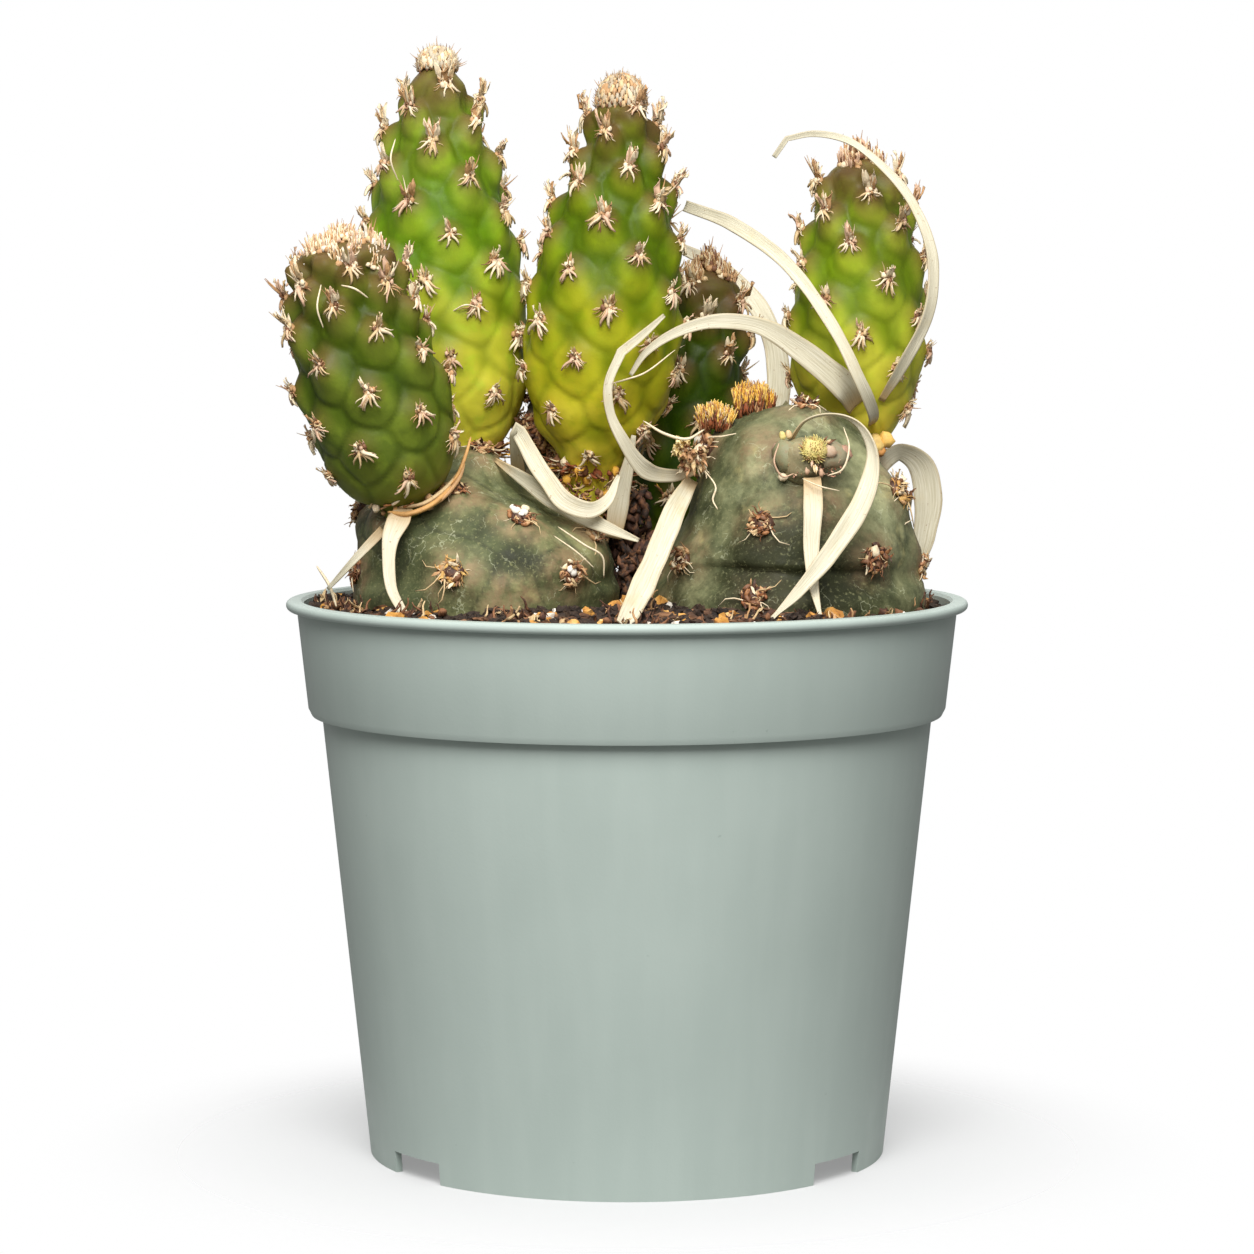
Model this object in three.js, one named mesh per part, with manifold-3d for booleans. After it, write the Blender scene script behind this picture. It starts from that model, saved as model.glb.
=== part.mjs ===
// A potted cactus with jointed stems. Two old grey segments are half sunk in the soil of a plastic
// nursery pot. Four young green segments grow from them and one from the soil behind, all with
// tubercles in a spiral, short spines at each areole and long flat papery spines.
// Millimetres, +Z up, the front towards -Y. The origin is the middle of the pot's underside.
import * as THREE from 'three';
import { ConvexHull } from 'three/addons/math/ConvexHull.js';
import { ImprovedNoise } from 'three/addons/math/ImprovedNoise.js';
import { mergeVertices } from 'three/addons/utils/BufferGeometryUtils.js';
import Module from 'manifold-3d';

const wasm = await Module();
wasm.setup();

// Driving dimensions
const FIT_GAP = 0.35; // clearance between pieces that touch
const GOLDEN_ANGLE = Math.PI * (3 - Math.sqrt(5));
const LEAST_RADIUS = 0.05; // of a segment, where its outline closes at either end

const POT = {
  height: 98,
  sides: 44,
  rimRadius: 60,
  rimDepth: 1.7,
  rimInnerRadius: 57.4,
  rimRound: 0.5,
  bandTopRadius: 58.1,
  bandFootRadius: 55.6,
  bandFootHeight: 77.9,
  bandRound: 0.6,
  bodyTopRadius: 53.8,
  footRadius: 45.6,
  wall: 1.2,
  floorUnderside: 4,
  floorTop: 5.2,
  floorRound: 1.2,
};
// The inside of the pot from its floor up to its mouth, as [radius, height]
const POT_INSIDE = [
  [POT.footRadius - POT.wall - 0.9, POT.floorTop],
  [POT.footRadius - POT.wall + 0.4, POT.floorTop + POT.floorRound],
  [POT.bodyTopRadius - POT.wall, POT.bandFootHeight + POT.bandRound],
  [POT.bandFootRadius - POT.wall + 0.4, POT.bandFootHeight + 2],
  [POT.bandTopRadius - POT.wall, POT.height - POT.rimRound],
];
const FOOT_NOTCH = { width: 13.2, height: 3.8, angles: [-142.5, -37.5, 37.5, 142.5] };
const DRAIN_HOLE = { radius: 3.5, distance: 36, sides: 12 };

const SOIL = {
  bottom: 5.6,
  wallGap: 0.7,
  rootGap: 0.7,
  edgeHeight: 96.6,
  edgeDepth: 1,
  crown: 1.6,
  roughness: 1.1,
  grain: 7,
  sides: 36,
  rings: 7,
};

// The skin of the young segments and of the old ones. Outlines are measured over the crests, and
// the skin lies lower than them in the grooves and on the shoulders of each tubercle.
const YOUNG_SKIN = {
  groove: 1.6,
  shoulder: 0.25,
  areoleRadius: 1.5,
  spineLength: 3.2,
};
const OLD_SKIN = {
  groove: 1.4,
  shoulder: 0.3,
  areoleRadius: 2.3,
  spineLength: 3.4,
};
const BUD_SKIN = {
  groove: 0.4,
  shoulder: 0.1,
  areoleRadius: 1,
  spineLength: 1.6,
};

// The shape of each tubercle. All but padDome are shares of the way from its middle to its edge.
const TUBERCLE = {
  crestRise: 0.16, // how far above the middle its areole sits
  bellyDrop: 0.1, // how far below the middle it is fullest
  shoulder: 0.58,
  padLimit: 0.42,
  padDome: 0.2,
};
// The short spines of an areole, each a slender pyramid over a part of the areole's pad
const TUFT = {
  tilt: [25, 55], // degrees from the skin's normal
  length: [0.75, 1.15], // shares of the skin's spine length
  lengthLimit: 0.85, // share of the way from the tubercle's middle to its edge
  lean: 0.7,
};
// What a short spine keeps clear of
const SPINE_ROOM = { beside: 1.4, aboveSoil: 2.5, fromRim: 1 };
const CHOSEN_ROOM = 0.62; // room round a chosen areole, as a share of the usual spacing

// Each segment has an axis from its root to its tip, an outline of [distance along it, radius],
// and a count of areoles, which crowd together at the tip. Below bareLength it has no spines.
// The slices of a level segment lie flat, and those of the others lie square to the axis.
const SEGMENTS = {
  old_segment_left: {
    level: true,
    axis: [
      [-23.5, -9, 76], [-24.5, -9, 99], [-24, -9, 106],
      [-27.5, -7.5, 114], [-30, -5, 120], [-30, -4, 126],
    ],
    outline: [
      [0, 0], [1, 8], [7, 16], [16, 21.5], [23, 23.2], [29, 22.7],
      [34, 21.4], [39, 17.8], [44.5, 11.8], [48.5, 7.5], [51.2, 0],
    ],
    depth: 1.05,
    skin: OLD_SKIN,
    colour: 0x6f8068,
    bareLength: 24,
    bareDensity: 0.5,
    tipDensity: 1,
    areoles: 24,
    phase: 40,
    chosen: [
      { turn: -66, height: 112.5 },
      { turn: -104, height: 103.5 },
      { turn: -42, height: 109.5 },
      { turn: -52, height: 103 },
      { turn: 178, height: 113 },
      { turn: 194, height: 102.5 },
    ],
  },
  old_segment_right: {
    level: true,
    axis: [[28, -9, 74], [28.2, -9, 100], [29.6, -9, 115], [27.6, -8, 133]],
    outline: [
      [0, 0], [1, 8], [8, 17], [17, 22.3], [24, 24], [27, 23.4], [29.2, 21.9],
      [32, 22], [37, 20.8], [44, 18.2], [50, 15], [54.5, 12], [57.5, 7.5], [59.2, 0],
    ],
    depth: 1.05,
    skin: OLD_SKIN,
    colour: 0x6c7d69,
    bareLength: 26,
    bareDensity: 0.5,
    tipDensity: 1,
    areoles: 26,
    phase: 100,
    chosen: [
      { turn: -168, height: 122 },
      { turn: -109, height: 112.5 },
      { turn: -107, height: 100.5 },
      { turn: -54, height: 106.5 },
      { turn: -24, height: 117.5 },
      { turn: -8, height: 104.5 },
      { turn: -150, height: 106 },
      { turn: 158, height: 127.5, radius: 3.2, spineLength: 5 },
      { turn: 128, height: 130, radius: 3.2, spineLength: 5.4 },
    ],
  },
  segment_short_left: {
    axis: [
      [-37.8, -20.4, 113], [-38.6, -21.2, 117.5], [-41.6, -22.4, 130],
      [-46, -24.4, 145], [-48.8, -25.8, 163],
    ],
    outline: [
      [0, 0], [0.8, 3], [3.5, 5.2], [6, 8.4], [11, 10.8], [17, 12.2],
      [25, 12.7], [33, 12.2], [41, 10.7], [47, 8.9], [50.5, 6.3], [52.6, 0],
    ],
    depth: 1,
    skin: YOUNG_SKIN,
    colour: 0x4f7a2c,
    bareLength: 5,
    bareDensity: 0.5,
    tipDensity: 2.6,
    areoles: 50,
    phase: 10,
  },
  segment_tall_left: {
    axis: [[-29.4, 6, 118], [-31, 8.4, 134], [-32.9, 11, 155], [-33.6, 10.6, 175], [-33.6, 10.6, 195.9]],
    outline: [
      [0, 0], [0.8, 3.2], [3, 5], [6, 7.2], [11, 11], [17, 13.4], [27, 14.5], [37, 14.2],
      [45, 13.3], [52, 12], [59, 10.2], [65, 8.2], [70, 6.2], [74.5, 4.4], [77.2, 3], [78.2, 0],
    ],
    depth: 1,
    skin: YOUNG_SKIN,
    colour: 0x6d9a35,
    bareLength: 5,
    bareDensity: 0.5,
    tipDensity: 1.6,
    areoles: 58,
    phase: 200,
  },
  segment_tall_middle: {
    axis: [
      [-8.4, 2.4, 110.2], [-6.4, 1, 120], [-5.4, -0.4, 133],
      [-3.4, -1.4, 154], [-1.2, -1, 175], [-0.9, -1, 190.6],
    ],
    outline: [
      [0, 0], [0.8, 3], [4, 3.8], [10, 4.6], [14, 7], [19, 10.4], [26, 13], [34, 13.8],
      [43, 13.3], [51, 12.1], [58, 10.5], [65, 8.2], [70, 6.6], [74, 4.9], [77.6, 3.4], [80.8, 0],
    ],
    depth: 1,
    skin: YOUNG_SKIN,
    colour: 0x7d9d2f,
    bareLength: 12,
    bareDensity: 1,
    tipDensity: 1.6,
    areoles: 58,
    phase: 75,
  },
  segment_rear: {
    axis: [[6.4, 20, 93.5], [7.4, 20.4, 106], [10, 21.4, 124], [13.5, 22, 143], [15.2, 22, 158.2]],
    outline: [
      [0, 0], [1, 3.4], [5, 4.6], [11, 5.6], [20, 7.4], [30, 9],
      [42, 9.2], [51, 8.3], [58, 6.6], [62.5, 4.6], [65.6, 0],
    ],
    depth: 1,
    skin: YOUNG_SKIN,
    colour: 0x44682a,
    bareLength: 12,
    bareDensity: 1,
    tipDensity: 2,
    areoles: 38,
    phase: 20,
  },
  segment_right: {
    axis: [[39.6, 4, 121.2], [40.2, 5.2, 128], [40.6, 6, 140], [41.2, 6, 154], [41.4, 6, 178]],
    outline: [
      [0, 0], [0.8, 3.2], [2.5, 4.6], [5, 6], [8.5, 8], [12.4, 10.2], [19.4, 11.9],
      [26.4, 12], [33.4, 11.5], [40.4, 10.3], [46.4, 8.6], [51.4, 6.4], [54.9, 4.2], [57, 0],
    ],
    depth: 1,
    skin: YOUNG_SKIN,
    colour: 0x6b9636,
    bareLength: 4,
    bareDensity: 1,
    tipDensity: 1.8,
    areoles: 44,
    phase: 145,
  },
  bud_segment: {
    axis: [[29.6, -22, 121.8], [30, -25, 123], [31.2, -29.6, 124.2]],
    outline: [[0, 0], [0.6, 2.4], [3, 4.1], [5.6, 3.7], [7.6, 2.2], [8.3, 0]],
    depth: 1,
    skin: BUD_SKIN,
    colour: 0x8b9a5e,
    bareLength: 4,
    bareDensity: 1,
    tipDensity: 1.6,
    areoles: 12,
    phase: 0,
  },
};

// Which pieces have a dimple for the root of which segment
const SEATS = {
  old_segment_left: ['segment_short_left', 'segment_tall_left', 'segment_tall_middle'],
  old_segment_right: ['segment_right', 'bud_segment'],
  soil: ['old_segment_left', 'old_segment_right', 'segment_rear'],
};

// Papery spines, from the root to the free tip. Each row is x, y, z, width and the angle by which
// the blade is turned edge on to the front.
const PAPERY_THICKNESS = 0.6;
const PAPERY_COLOUR = 0xe6e0c8;
const PAPERY_SPINES = {
  papery_spine_left_front: [
    [-37.8, -26.4, 115.2, 2.6, 20], [-38.6, -28.2, 113.2, 3.8, 20], [-39.8, -30, 110.4, 4.2, 10],
    [-40.2, -31.4, 106.8, 4.2, 0], [-39.6, -33.2, 102, 3.4, 0], [-37.8, -36, 98.8, 1.6, 0],
  ],
  papery_spine_left_thin: [
    [-41.6, -23.4, 111.4, 2.2, 0], [-46.4, -25, 106.4, 1.8, 0], [-51.2, -22, 101.2, 1, 0],
  ],
  papery_spine_middle_bent: [
    [-19, -7.4, 120.5, 2.6, 0], [-19.2, -11, 124.4, 3.4, 10], [-18.2, -14.6, 127.4, 3.6, 30],
    [-16.4, -17.6, 125.2, 3.6, 10], [-14, -20, 121, 3.6, 0], [-10.6, -23.4, 117, 4, 0],
    [-6.4, -24.4, 115, 3.6, 0], [-3.4, -22, 116, 2.4, 0], [-1.8, -19, 118.8, 1, 0],
  ],
  papery_spine_middle_low: [
    [-22.6, -10.4, 122.6, 1.6, 20], [-18.4, -15, 120, 3, 20], [-13.2, -18.6, 116.6, 4, 10],
    [-8, -20.6, 113.6, 3.6, 10], [-2.6, -22.6, 111.4, 2, 0], [2, -24, 109.6, 0.8, 0],
  ],
  papery_spine_middle_short: [
    [-2.5, -6.4, 109, 3, 0], [-1.4, -7.4, 115, 4.4, 0], [0, -8, 121, 2.6, 0],
    [1.2, -8.6, 127, 0.8, 0],
  ],
  papery_spine_middle_curl: [
    [11.8, -11, 120.8, 1.6, 0], [7.8, -14, 120, 3.4, 0], [3.8, -18, 121.4, 4.2, 0],
    [0.9, -20.5, 126.4, 3.2, 10], [-0.6, -21, 131, 2.2, 20], [-0.8, -21, 136, 2.4, 10],
    [0.6, -19.6, 141, 2.6, 0], [3.6, -17.6, 144.8, 2.2, 10], [7, -14.4, 147.4, 1, 10],
  ],
  papery_spine_front_straight: [
    [11.2, -13.7, 119.5, 2.4, 0], [8, -25, 114.4, 4.6, 0], [4.6, -35, 106.8, 4.6, 0],
    [1.6, -43.6, 101, 4.4, 0], [0.2, -48.4, 98.7, 3.6, 0],
  ],
  papery_spine_right_hanging: [
    [31.2, -29, 120.5, 2.8, 0], [31.4, -31.8, 115.6, 3.8, 0], [31, -33.8, 109, 3.4, 0],
    [31.2, -36.4, 103.4, 2.4, 0], [32, -41, 98.8, 0.9, 0],
  ],
  papery_spine_right_loop: [
    [27.8, -23.4, 126.6, 0.9, 40], [30.4, -26.6, 130.2, 0.9, 60], [35, -28.4, 131.2, 0.9, 60],
    [39, -30, 129.6, 1.4, 50], [41.2, -31.6, 125.4, 2.6, 40], [40.8, -33, 120.2, 4, 20],
    [37.8, -35.2, 113.8, 4.6, 0], [32.8, -38.6, 107, 3.8, 0], [28.6, -41, 102.2, 2.6, 0],
    [25, -43.6, 98.8, 0.9, 0],
  ],
  papery_spine_right_arch: [
    [39.9, -4.1, 131.8, 3.6, 20], [37.6, -9.4, 135.4, 6, 20], [30, -13.4, 141.8, 5, 10],
    [22.8, -15.6, 146, 3.4, 0], [15, -16.6, 146.8, 2.8, 0], [8.2, -16.4, 144.8, 2, 0],
    [3.2, -16, 141.4, 1.4, 0], [0.6, -15.6, 137.6, 0.8, 0],
  ],
  papery_spine_right_long: [
    [43, -1.7, 128.8, 1.6, 20], [42.8, -9, 130.8, 3, 20], [40.4, -13.4, 136.2, 3, 10],
    [36.8, -13.4, 143.6, 2.8, 0], [32.6, -10.4, 150.6, 3, 0], [26.8, -4, 157.8, 3, 0],
    [18.6, 5, 163.8, 3.2, 0], [10.4, 14, 167.2, 2.4, 0],
  ],
  papery_spine_right_hook: [
    [44.5, -3.4, 132.9, 1.6, 10], [48.2, -9, 139.8, 3.2, 20], [52, -11, 147.8, 3.4, 30],
    [52.8, -10.4, 157.4, 3, 30], [49.6, -9, 166.8, 2.4, 20], [44, -7.4, 173.8, 2, 10],
    [38.4, -6, 178, 1.6, 10], [32.6, -5, 179.2, 1.4, 0], [27.8, -4.4, 178.4, 1.2, 0],
    [25.8, -4, 176.2, 1, 0],
  ],
  papery_spine_rear_broad: [
    [25.5, 7.5, 120.4, 3.4, 0], [26.4, 14.6, 128, 4.6, 0], [27.4, 22, 137, 5, 10],
    [26.4, 28, 144, 4.8, 20], [22.6, 33, 151, 4.4, 20], [16.6, 35, 156.6, 3.8, 10],
    [9, 34.6, 160.4, 2, 0],
  ],
  papery_spine_rear_right: [
    [46.7, 1.2, 116.5, 3, 30], [48.2, 6, 120.6, 4, 40], [50.4, 9.6, 122.4, 4.6, 30],
    [53, 11.4, 120, 5, 0], [54.2, 12, 114.4, 5, 0], [53.6, 12.4, 108, 4, 0],
    [52.6, 12.8, 101.6, 1.6, 0],
  ],
};
const PAPERY_STEPS_PER_ROW = 2;

// Repeatable random numbers
function seededRandom(seed) {
  let state = seed;
  return () => {
    state = (state * 1664525 + 1013904223) % 4294967296;
    return state / 4294967296;
  };
}

// Solids and geometries
function solidFrom(geometry) {
  const bare = new THREE.BufferGeometry();
  bare.setAttribute('position', geometry.getAttribute('position'));
  bare.setIndex(geometry.getIndex());
  const merged = mergeVertices(bare, 1e-4);
  return new wasm.Manifold(new wasm.Mesh({
    numProp: 3,
    vertProperties: new Float32Array(merged.getAttribute('position').array),
    triVerts: new Uint32Array(merged.getIndex().array),
  }));
}

function geometryFrom(solid) {
  const mesh = solid.getMesh();
  const geometry = new THREE.BufferGeometry();
  geometry.setAttribute('position', new THREE.BufferAttribute(new Float32Array(mesh.vertProperties), 3));
  geometry.setIndex(new THREE.BufferAttribute(new Uint32Array(mesh.triVerts), 1));
  geometry.computeVertexNormals();
  return geometry;
}

function indexedGeometry(points, triangles) {
  const geometry = new THREE.BufferGeometry();
  geometry.setFromPoints(points);
  geometry.setIndex(triangles);
  geometry.computeVertexNormals();
  return geometry;
}

// A profile of [radius, height] turned about Z
function lathe(profile, sides) {
  const points = profile.map(([radius, height]) => new THREE.Vector2(radius, height));
  const geometry = new THREE.LatheGeometry(points, sides);
  geometry.rotateX(Math.PI / 2);
  return geometry;
}

// A stem segment as a surface round a curved axis. The unit sphere stands for its skin, with
// shapes kept, so that areoles can be placed and joined to their neighbours on the sphere.
class StemSegment {
  constructor(name, spec) {
    this.name = name;
    this.spec = spec;
    this.axis = new THREE.CatmullRomCurve3(spec.axis.map((point) => new THREE.Vector3(...point)));
    this.axisLength = this.axis.getLength();
    this.measureOutline();
    this.areoles = this.placeAreoles();
  }

  measureOutline() {
    const samples = 240;
    const { outline } = this.spec;
    const last = outline.at(-1)[0];
    const curve = new THREE.CatmullRomCurve3(
      outline.map(([along, radius]) => new THREE.Vector3(along / last, radius / this.axisLength, 0)),
    );
    const points = curve.getPoints(samples);
    this.outline = points.map((point) => ({
      along: THREE.MathUtils.clamp(point.x, 0, 1),
      radius: Math.max(point.y, 0) * this.axisLength,
    }));
    let mercator = 0;
    let weight = 0;
    this.outline[0].mercator = 0;
    this.outline[0].weight = 0;
    for (let i = 1; i < this.outline.length; i += 1) {
      const before = this.outline[i - 1];
      const here = this.outline[i];
      const step = Math.hypot((here.along - before.along) * this.axisLength, here.radius - before.radius);
      const radius = Math.max((here.radius + before.radius) / 2, LEAST_RADIUS);
      mercator += step / radius;
      weight += step * radius * this.density(here.along);
      here.mercator = mercator;
      here.weight = weight;
    }
    this.middleMercator = this.outline.find((row) => row.weight > weight / 2).mercator;
  }

  density(along) {
    const { bareLength, bareDensity, tipDensity } = this.spec;
    const bare = bareLength / this.axisLength;
    const crowding = THREE.MathUtils.smoothstep(along, 0.6, 0.95);
    return along < bare ? bareDensity : 1 + (tipDensity - 1) * crowding;
  }

  // The outline where one of its rising columns has the given value
  outlineWhere(column, value) {
    const rows = this.outline;
    let low = 0;
    let high = rows.length - 1;
    while (high - low > 1) {
      const middle = (low + high) >> 1;
      if (rows[middle][column] < value) low = middle;
      else high = middle;
    }
    const span = rows[high][column] - rows[low][column];
    const mix = span > 0 ? THREE.MathUtils.clamp((value - rows[low][column]) / span, 0, 1) : 0;
    const rise = rows[high].radius - rows[low].radius;
    const run = (rows[high].along - rows[low].along) * this.axisLength;
    const length = Math.hypot(rise, run) || 1;
    return {
      along: THREE.MathUtils.lerp(rows[low].along, rows[high].along, mix),
      radius: THREE.MathUtils.lerp(rows[low].radius, rows[high].radius, mix),
      mercator: THREE.MathUtils.lerp(rows[low].mercator, rows[high].mercator, mix),
      rise: rise / length,
      run: run / length,
    };
  }

  directionOf(mercator, turn) {
    const latitude = 2 * Math.atan(Math.exp(mercator - this.middleMercator)) - Math.PI / 2;
    const flat = Math.cos(latitude);
    return new THREE.Vector3(flat * Math.cos(turn), flat * Math.sin(turn), Math.sin(latitude));
  }

  // The point of the skin that a direction on the unit sphere stands for, and its normal
  skinAt(direction) {
    const latitude = Math.asin(THREE.MathUtils.clamp(direction.z, -1, 1));
    const turn = Math.atan2(direction.y, direction.x);
    const mercator = this.middleMercator + Math.log(Math.tan(latitude / 2 + Math.PI / 4) + 1e-9);
    const { along, radius, rise, run } = this.outlineWhere('mercator', mercator);
    const tangent = this.axis.getTangentAt(along);
    const up = this.spec.level ? new THREE.Vector3(0, 0, 1) : tangent;
    const side = new THREE.Vector3(1, 0, 0).addScaledVector(up, -up.x).normalize();
    const back = new THREE.Vector3().crossVectors(up, side);
    const radial = side.multiplyScalar(Math.cos(turn)).addScaledVector(back, Math.sin(turn));
    const outward = new THREE.Vector3(radial.x, radial.y * this.spec.depth, radial.z);
    const point = this.axis.getPointAt(along).addScaledVector(outward, radius);
    const normal = radial.clone().multiplyScalar(run * tangent.dot(up));
    normal.addScaledVector(up, -rise - run * tangent.dot(radial)).normalize();
    const scale = radius / Math.max(Math.cos(latitude), 1e-3);
    return { along, point, normal, scale };
  }

  placeAreoles() {
    const { spec } = this;
    const chosen = (spec.chosen ?? []).map((areole) => {
      const foot = this.axis.points[0].z;
      const top = this.axis.points.at(-1).z;
      const { mercator } = this.outlineWhere('along', (areole.height - foot) / (top - foot));
      return { ...areole, direction: this.directionOf(mercator, THREE.MathUtils.degToRad(areole.turn)) };
    });
    const apart = Math.sqrt((4 * Math.PI) / spec.areoles) * CHOSEN_ROOM;
    const total = this.outline.at(-1).weight;
    const spiral = [];
    for (let i = 0; i < spec.areoles; i += 1) {
      const { mercator } = this.outlineWhere('weight', ((i + 0.5) / spec.areoles) * total);
      const turn = THREE.MathUtils.degToRad(spec.phase) + i * GOLDEN_ANGLE;
      const direction = this.directionOf(mercator, turn);
      if (chosen.every((areole) => areole.direction.angleTo(direction) > apart)) spiral.push({ direction });
    }
    return [...chosen, ...spiral];
  }

  // How much relief the skin has there: none on the bare root
  relief(along) {
    const bare = this.spec.bareLength / this.axisLength;
    return THREE.MathUtils.smoothstep(along, bare, bare + 3 / this.axisLength);
  }

  // Roughly how far a point is outside the segment
  distanceTo(point) {
    const steps = 24;
    let nearest = Infinity;
    for (let i = 0; i <= steps; i += 1) {
      const { along, radius } = this.outlineWhere('along', i / steps);
      nearest = Math.min(nearest, this.axis.getPointAt(along).distanceTo(point) - radius);
    }
    return nearest;
  }

  // The smooth envelope of the segment, larger all round by the gap, also midway between its sides
  envelope(gap) {
    const rings = 18;
    const sides = 20;
    const spread = 1 / Math.cos(Math.PI / sides) - 1;
    const last = this.outline.length - 1;
    const points = [];
    for (let ring = 0; ring <= rings; ring += 1) {
      const row = this.outline[THREE.MathUtils.clamp(Math.round((ring / rings) * last), 1, last - 1)];
      for (let side = 0; side < sides; side += 1) {
        const { point, normal } = this.skinAt(this.directionOf(row.mercator, (side / sides) * Math.PI * 2));
        points.push(point.addScaledVector(normal, gap + spread * row.radius));
      }
    }
    const root = this.axis.getPointAt(0).addScaledVector(this.axis.getTangentAt(0), -gap);
    const tip = this.axis.getPointAt(1).addScaledVector(this.axis.getTangentAt(1), gap);
    return closedTube(points, sides, rings, root, tip);
  }
}

// Rings of points, each of the same count, joined and closed by a point at each end
function closedTube(points, sides, rings, root, tip) {
  const triangles = [];
  for (let ring = 0; ring < rings; ring += 1) {
    for (let side = 0; side < sides; side += 1) {
      const next = (side + 1) % sides;
      const a = ring * sides + side;
      const b = ring * sides + next;
      const c = b + sides;
      const d = a + sides;
      triangles.push(a, b, c, a, c, d);
    }
  }
  const foot = points.length;
  const top = points.length + 1;
  const lastRing = rings * sides;
  for (let side = 0; side < sides; side += 1) {
    const next = (side + 1) % sides;
    triangles.push(foot, next, side);
    triangles.push(top, lastRing + side, lastRing + next);
  }
  return indexedGeometry([...points, root, tip], triangles);
}

function meanOf(points) {
  const sum = new THREE.Vector3();
  points.forEach((point) => sum.add(point));
  return sum.divideScalar(points.length);
}

// The direction reached from one direction towards another, by an angle
function towards(from, to, angle) {
  const across = to.clone().addScaledVector(from, -from.dot(to)).normalize();
  return from.clone().multiplyScalar(Math.cos(angle)).addScaledVector(across, Math.sin(angle));
}

// The faces round each areole when every areole is joined to its neighbours
function cellsOf(directions) {
  const hull = new ConvexHull().setFromPoints(directions);
  const indexOf = new Map(directions.map((direction, index) => [direction, index]));
  const corners = [];
  const cells = directions.map(() => []);
  hull.faces.forEach((face) => {
    const owners = [];
    let edge = face.edge;
    do {
      owners.push(indexOf.get(edge.head().point));
      edge = edge.next;
    } while (edge !== face.edge);
    const direction = meanOf(owners.map((owner) => directions[owner])).normalize();
    owners.forEach((owner) => cells[owner].push(corners.length));
    corners.push({ direction, owners });
  });
  cells.forEach((cell, owner) => {
    const centre = directions[owner];
    const east = new THREE.Vector3(-centre.y, centre.x, 0).normalize();
    const north = new THREE.Vector3().crossVectors(centre, east);
    const angleOf = (corner) => {
      const { direction } = corners[corner];
      return Math.atan2(direction.dot(north), direction.dot(east));
    };
    cell.sort((a, b) => angleOf(a) - angleOf(b));
  });
  return { corners, cells };
}

// The skin of a segment: a raised tubercle for each areole, with a groove between neighbours,
// and a tuft of spines on each areole that has room for them
function spinySkin(segment, hasRoom, random) {
  const { skin } = segment.spec;
  const directions = segment.areoles.map((areole) => areole.direction);
  const { corners, cells } = cellsOf(directions);
  const points = [];
  const triangles = [];
  const add = (direction, depth) => {
    const { point, normal, along } = segment.skinAt(direction);
    points.push(point.addScaledVector(normal, -depth * segment.relief(along)));
    return points.length - 1;
  };
  const cornerPoints = corners.map((corner) => add(corner.direction, skin.groove));
  cells.forEach((cell, owner) => {
    const areole = segment.areoles[owner];
    const centre = areole.direction;
    const tip = new THREE.Vector3(0, 0, 1);
    const toEdges = cell.map((corner) => centre.angleTo(corners[corner].direction));
    const size = toEdges.reduce((sum, angle) => sum + angle, 0) / cell.length;
    const nearPole = centre.angleTo(tip) < size / 2 || Math.PI - centre.angleTo(tip) < size / 2;
    const crest = nearPole ? centre : towards(centre, tip, size * TUBERCLE.crestRise);
    const belly = nearPole ? centre : towards(centre, tip, -size * TUBERCLE.bellyDrop);
    const { scale, along, normal } = segment.skinAt(centre);
    const padAngle = Math.min((areole.radius ?? skin.areoleRadius) / scale, size * TUBERCLE.padLimit);
    const shoulders = [];
    const pad = [];
    cell.forEach((corner) => {
      const { direction } = corners[corner];
      const reach = belly.angleTo(direction) * TUBERCLE.shoulder;
      shoulders.push(add(towards(belly, direction, reach), skin.shoulder));
      pad.push(add(towards(crest, direction, padAngle), 0));
    });
    const middle = add(crest, -TUBERCLE.padDome);
    const longest = size * scale * TUFT.lengthLimit;
    const spineLength = Math.min(areole.spineLength ?? skin.spineLength, longest);
    const bare = along * segment.axisLength < segment.spec.bareLength + 1;
    cell.forEach((corner, k) => {
      const next = (k + 1) % cell.length;
      const outer = [cornerPoints[corner], cornerPoints[cell[next]]];
      triangles.push(outer[0], outer[1], shoulders[next], outer[0], shoulders[next], shoulders[k]);
      triangles.push(shoulders[k], shoulders[next], pad[next], shoulders[k], pad[next], pad[k]);
      const rim = points[pad[k]].clone().add(points[pad[next]]).multiplyScalar(0.5);
      const outward = rim.clone().sub(points[middle]).normalize();
      const tilt = THREE.MathUtils.degToRad(THREE.MathUtils.lerp(...TUFT.tilt, random()));
      const length = spineLength * THREE.MathUtils.lerp(...TUFT.length, random());
      const apex = rim.clone().addScaledVector(normal, length * Math.cos(tilt));
      apex.addScaledVector(outward, length * Math.sin(tilt) * TUFT.lean);
      if (!bare && hasRoom(rim, apex)) {
        points.push(apex);
        const point = points.length - 1;
        triangles.push(pad[k], pad[next], point, pad[next], middle, point, middle, pad[k], point);
      } else {
        triangles.push(pad[k], pad[next], middle);
      }
    });
  });
  return indexedGeometry(points, triangles);
}

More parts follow.
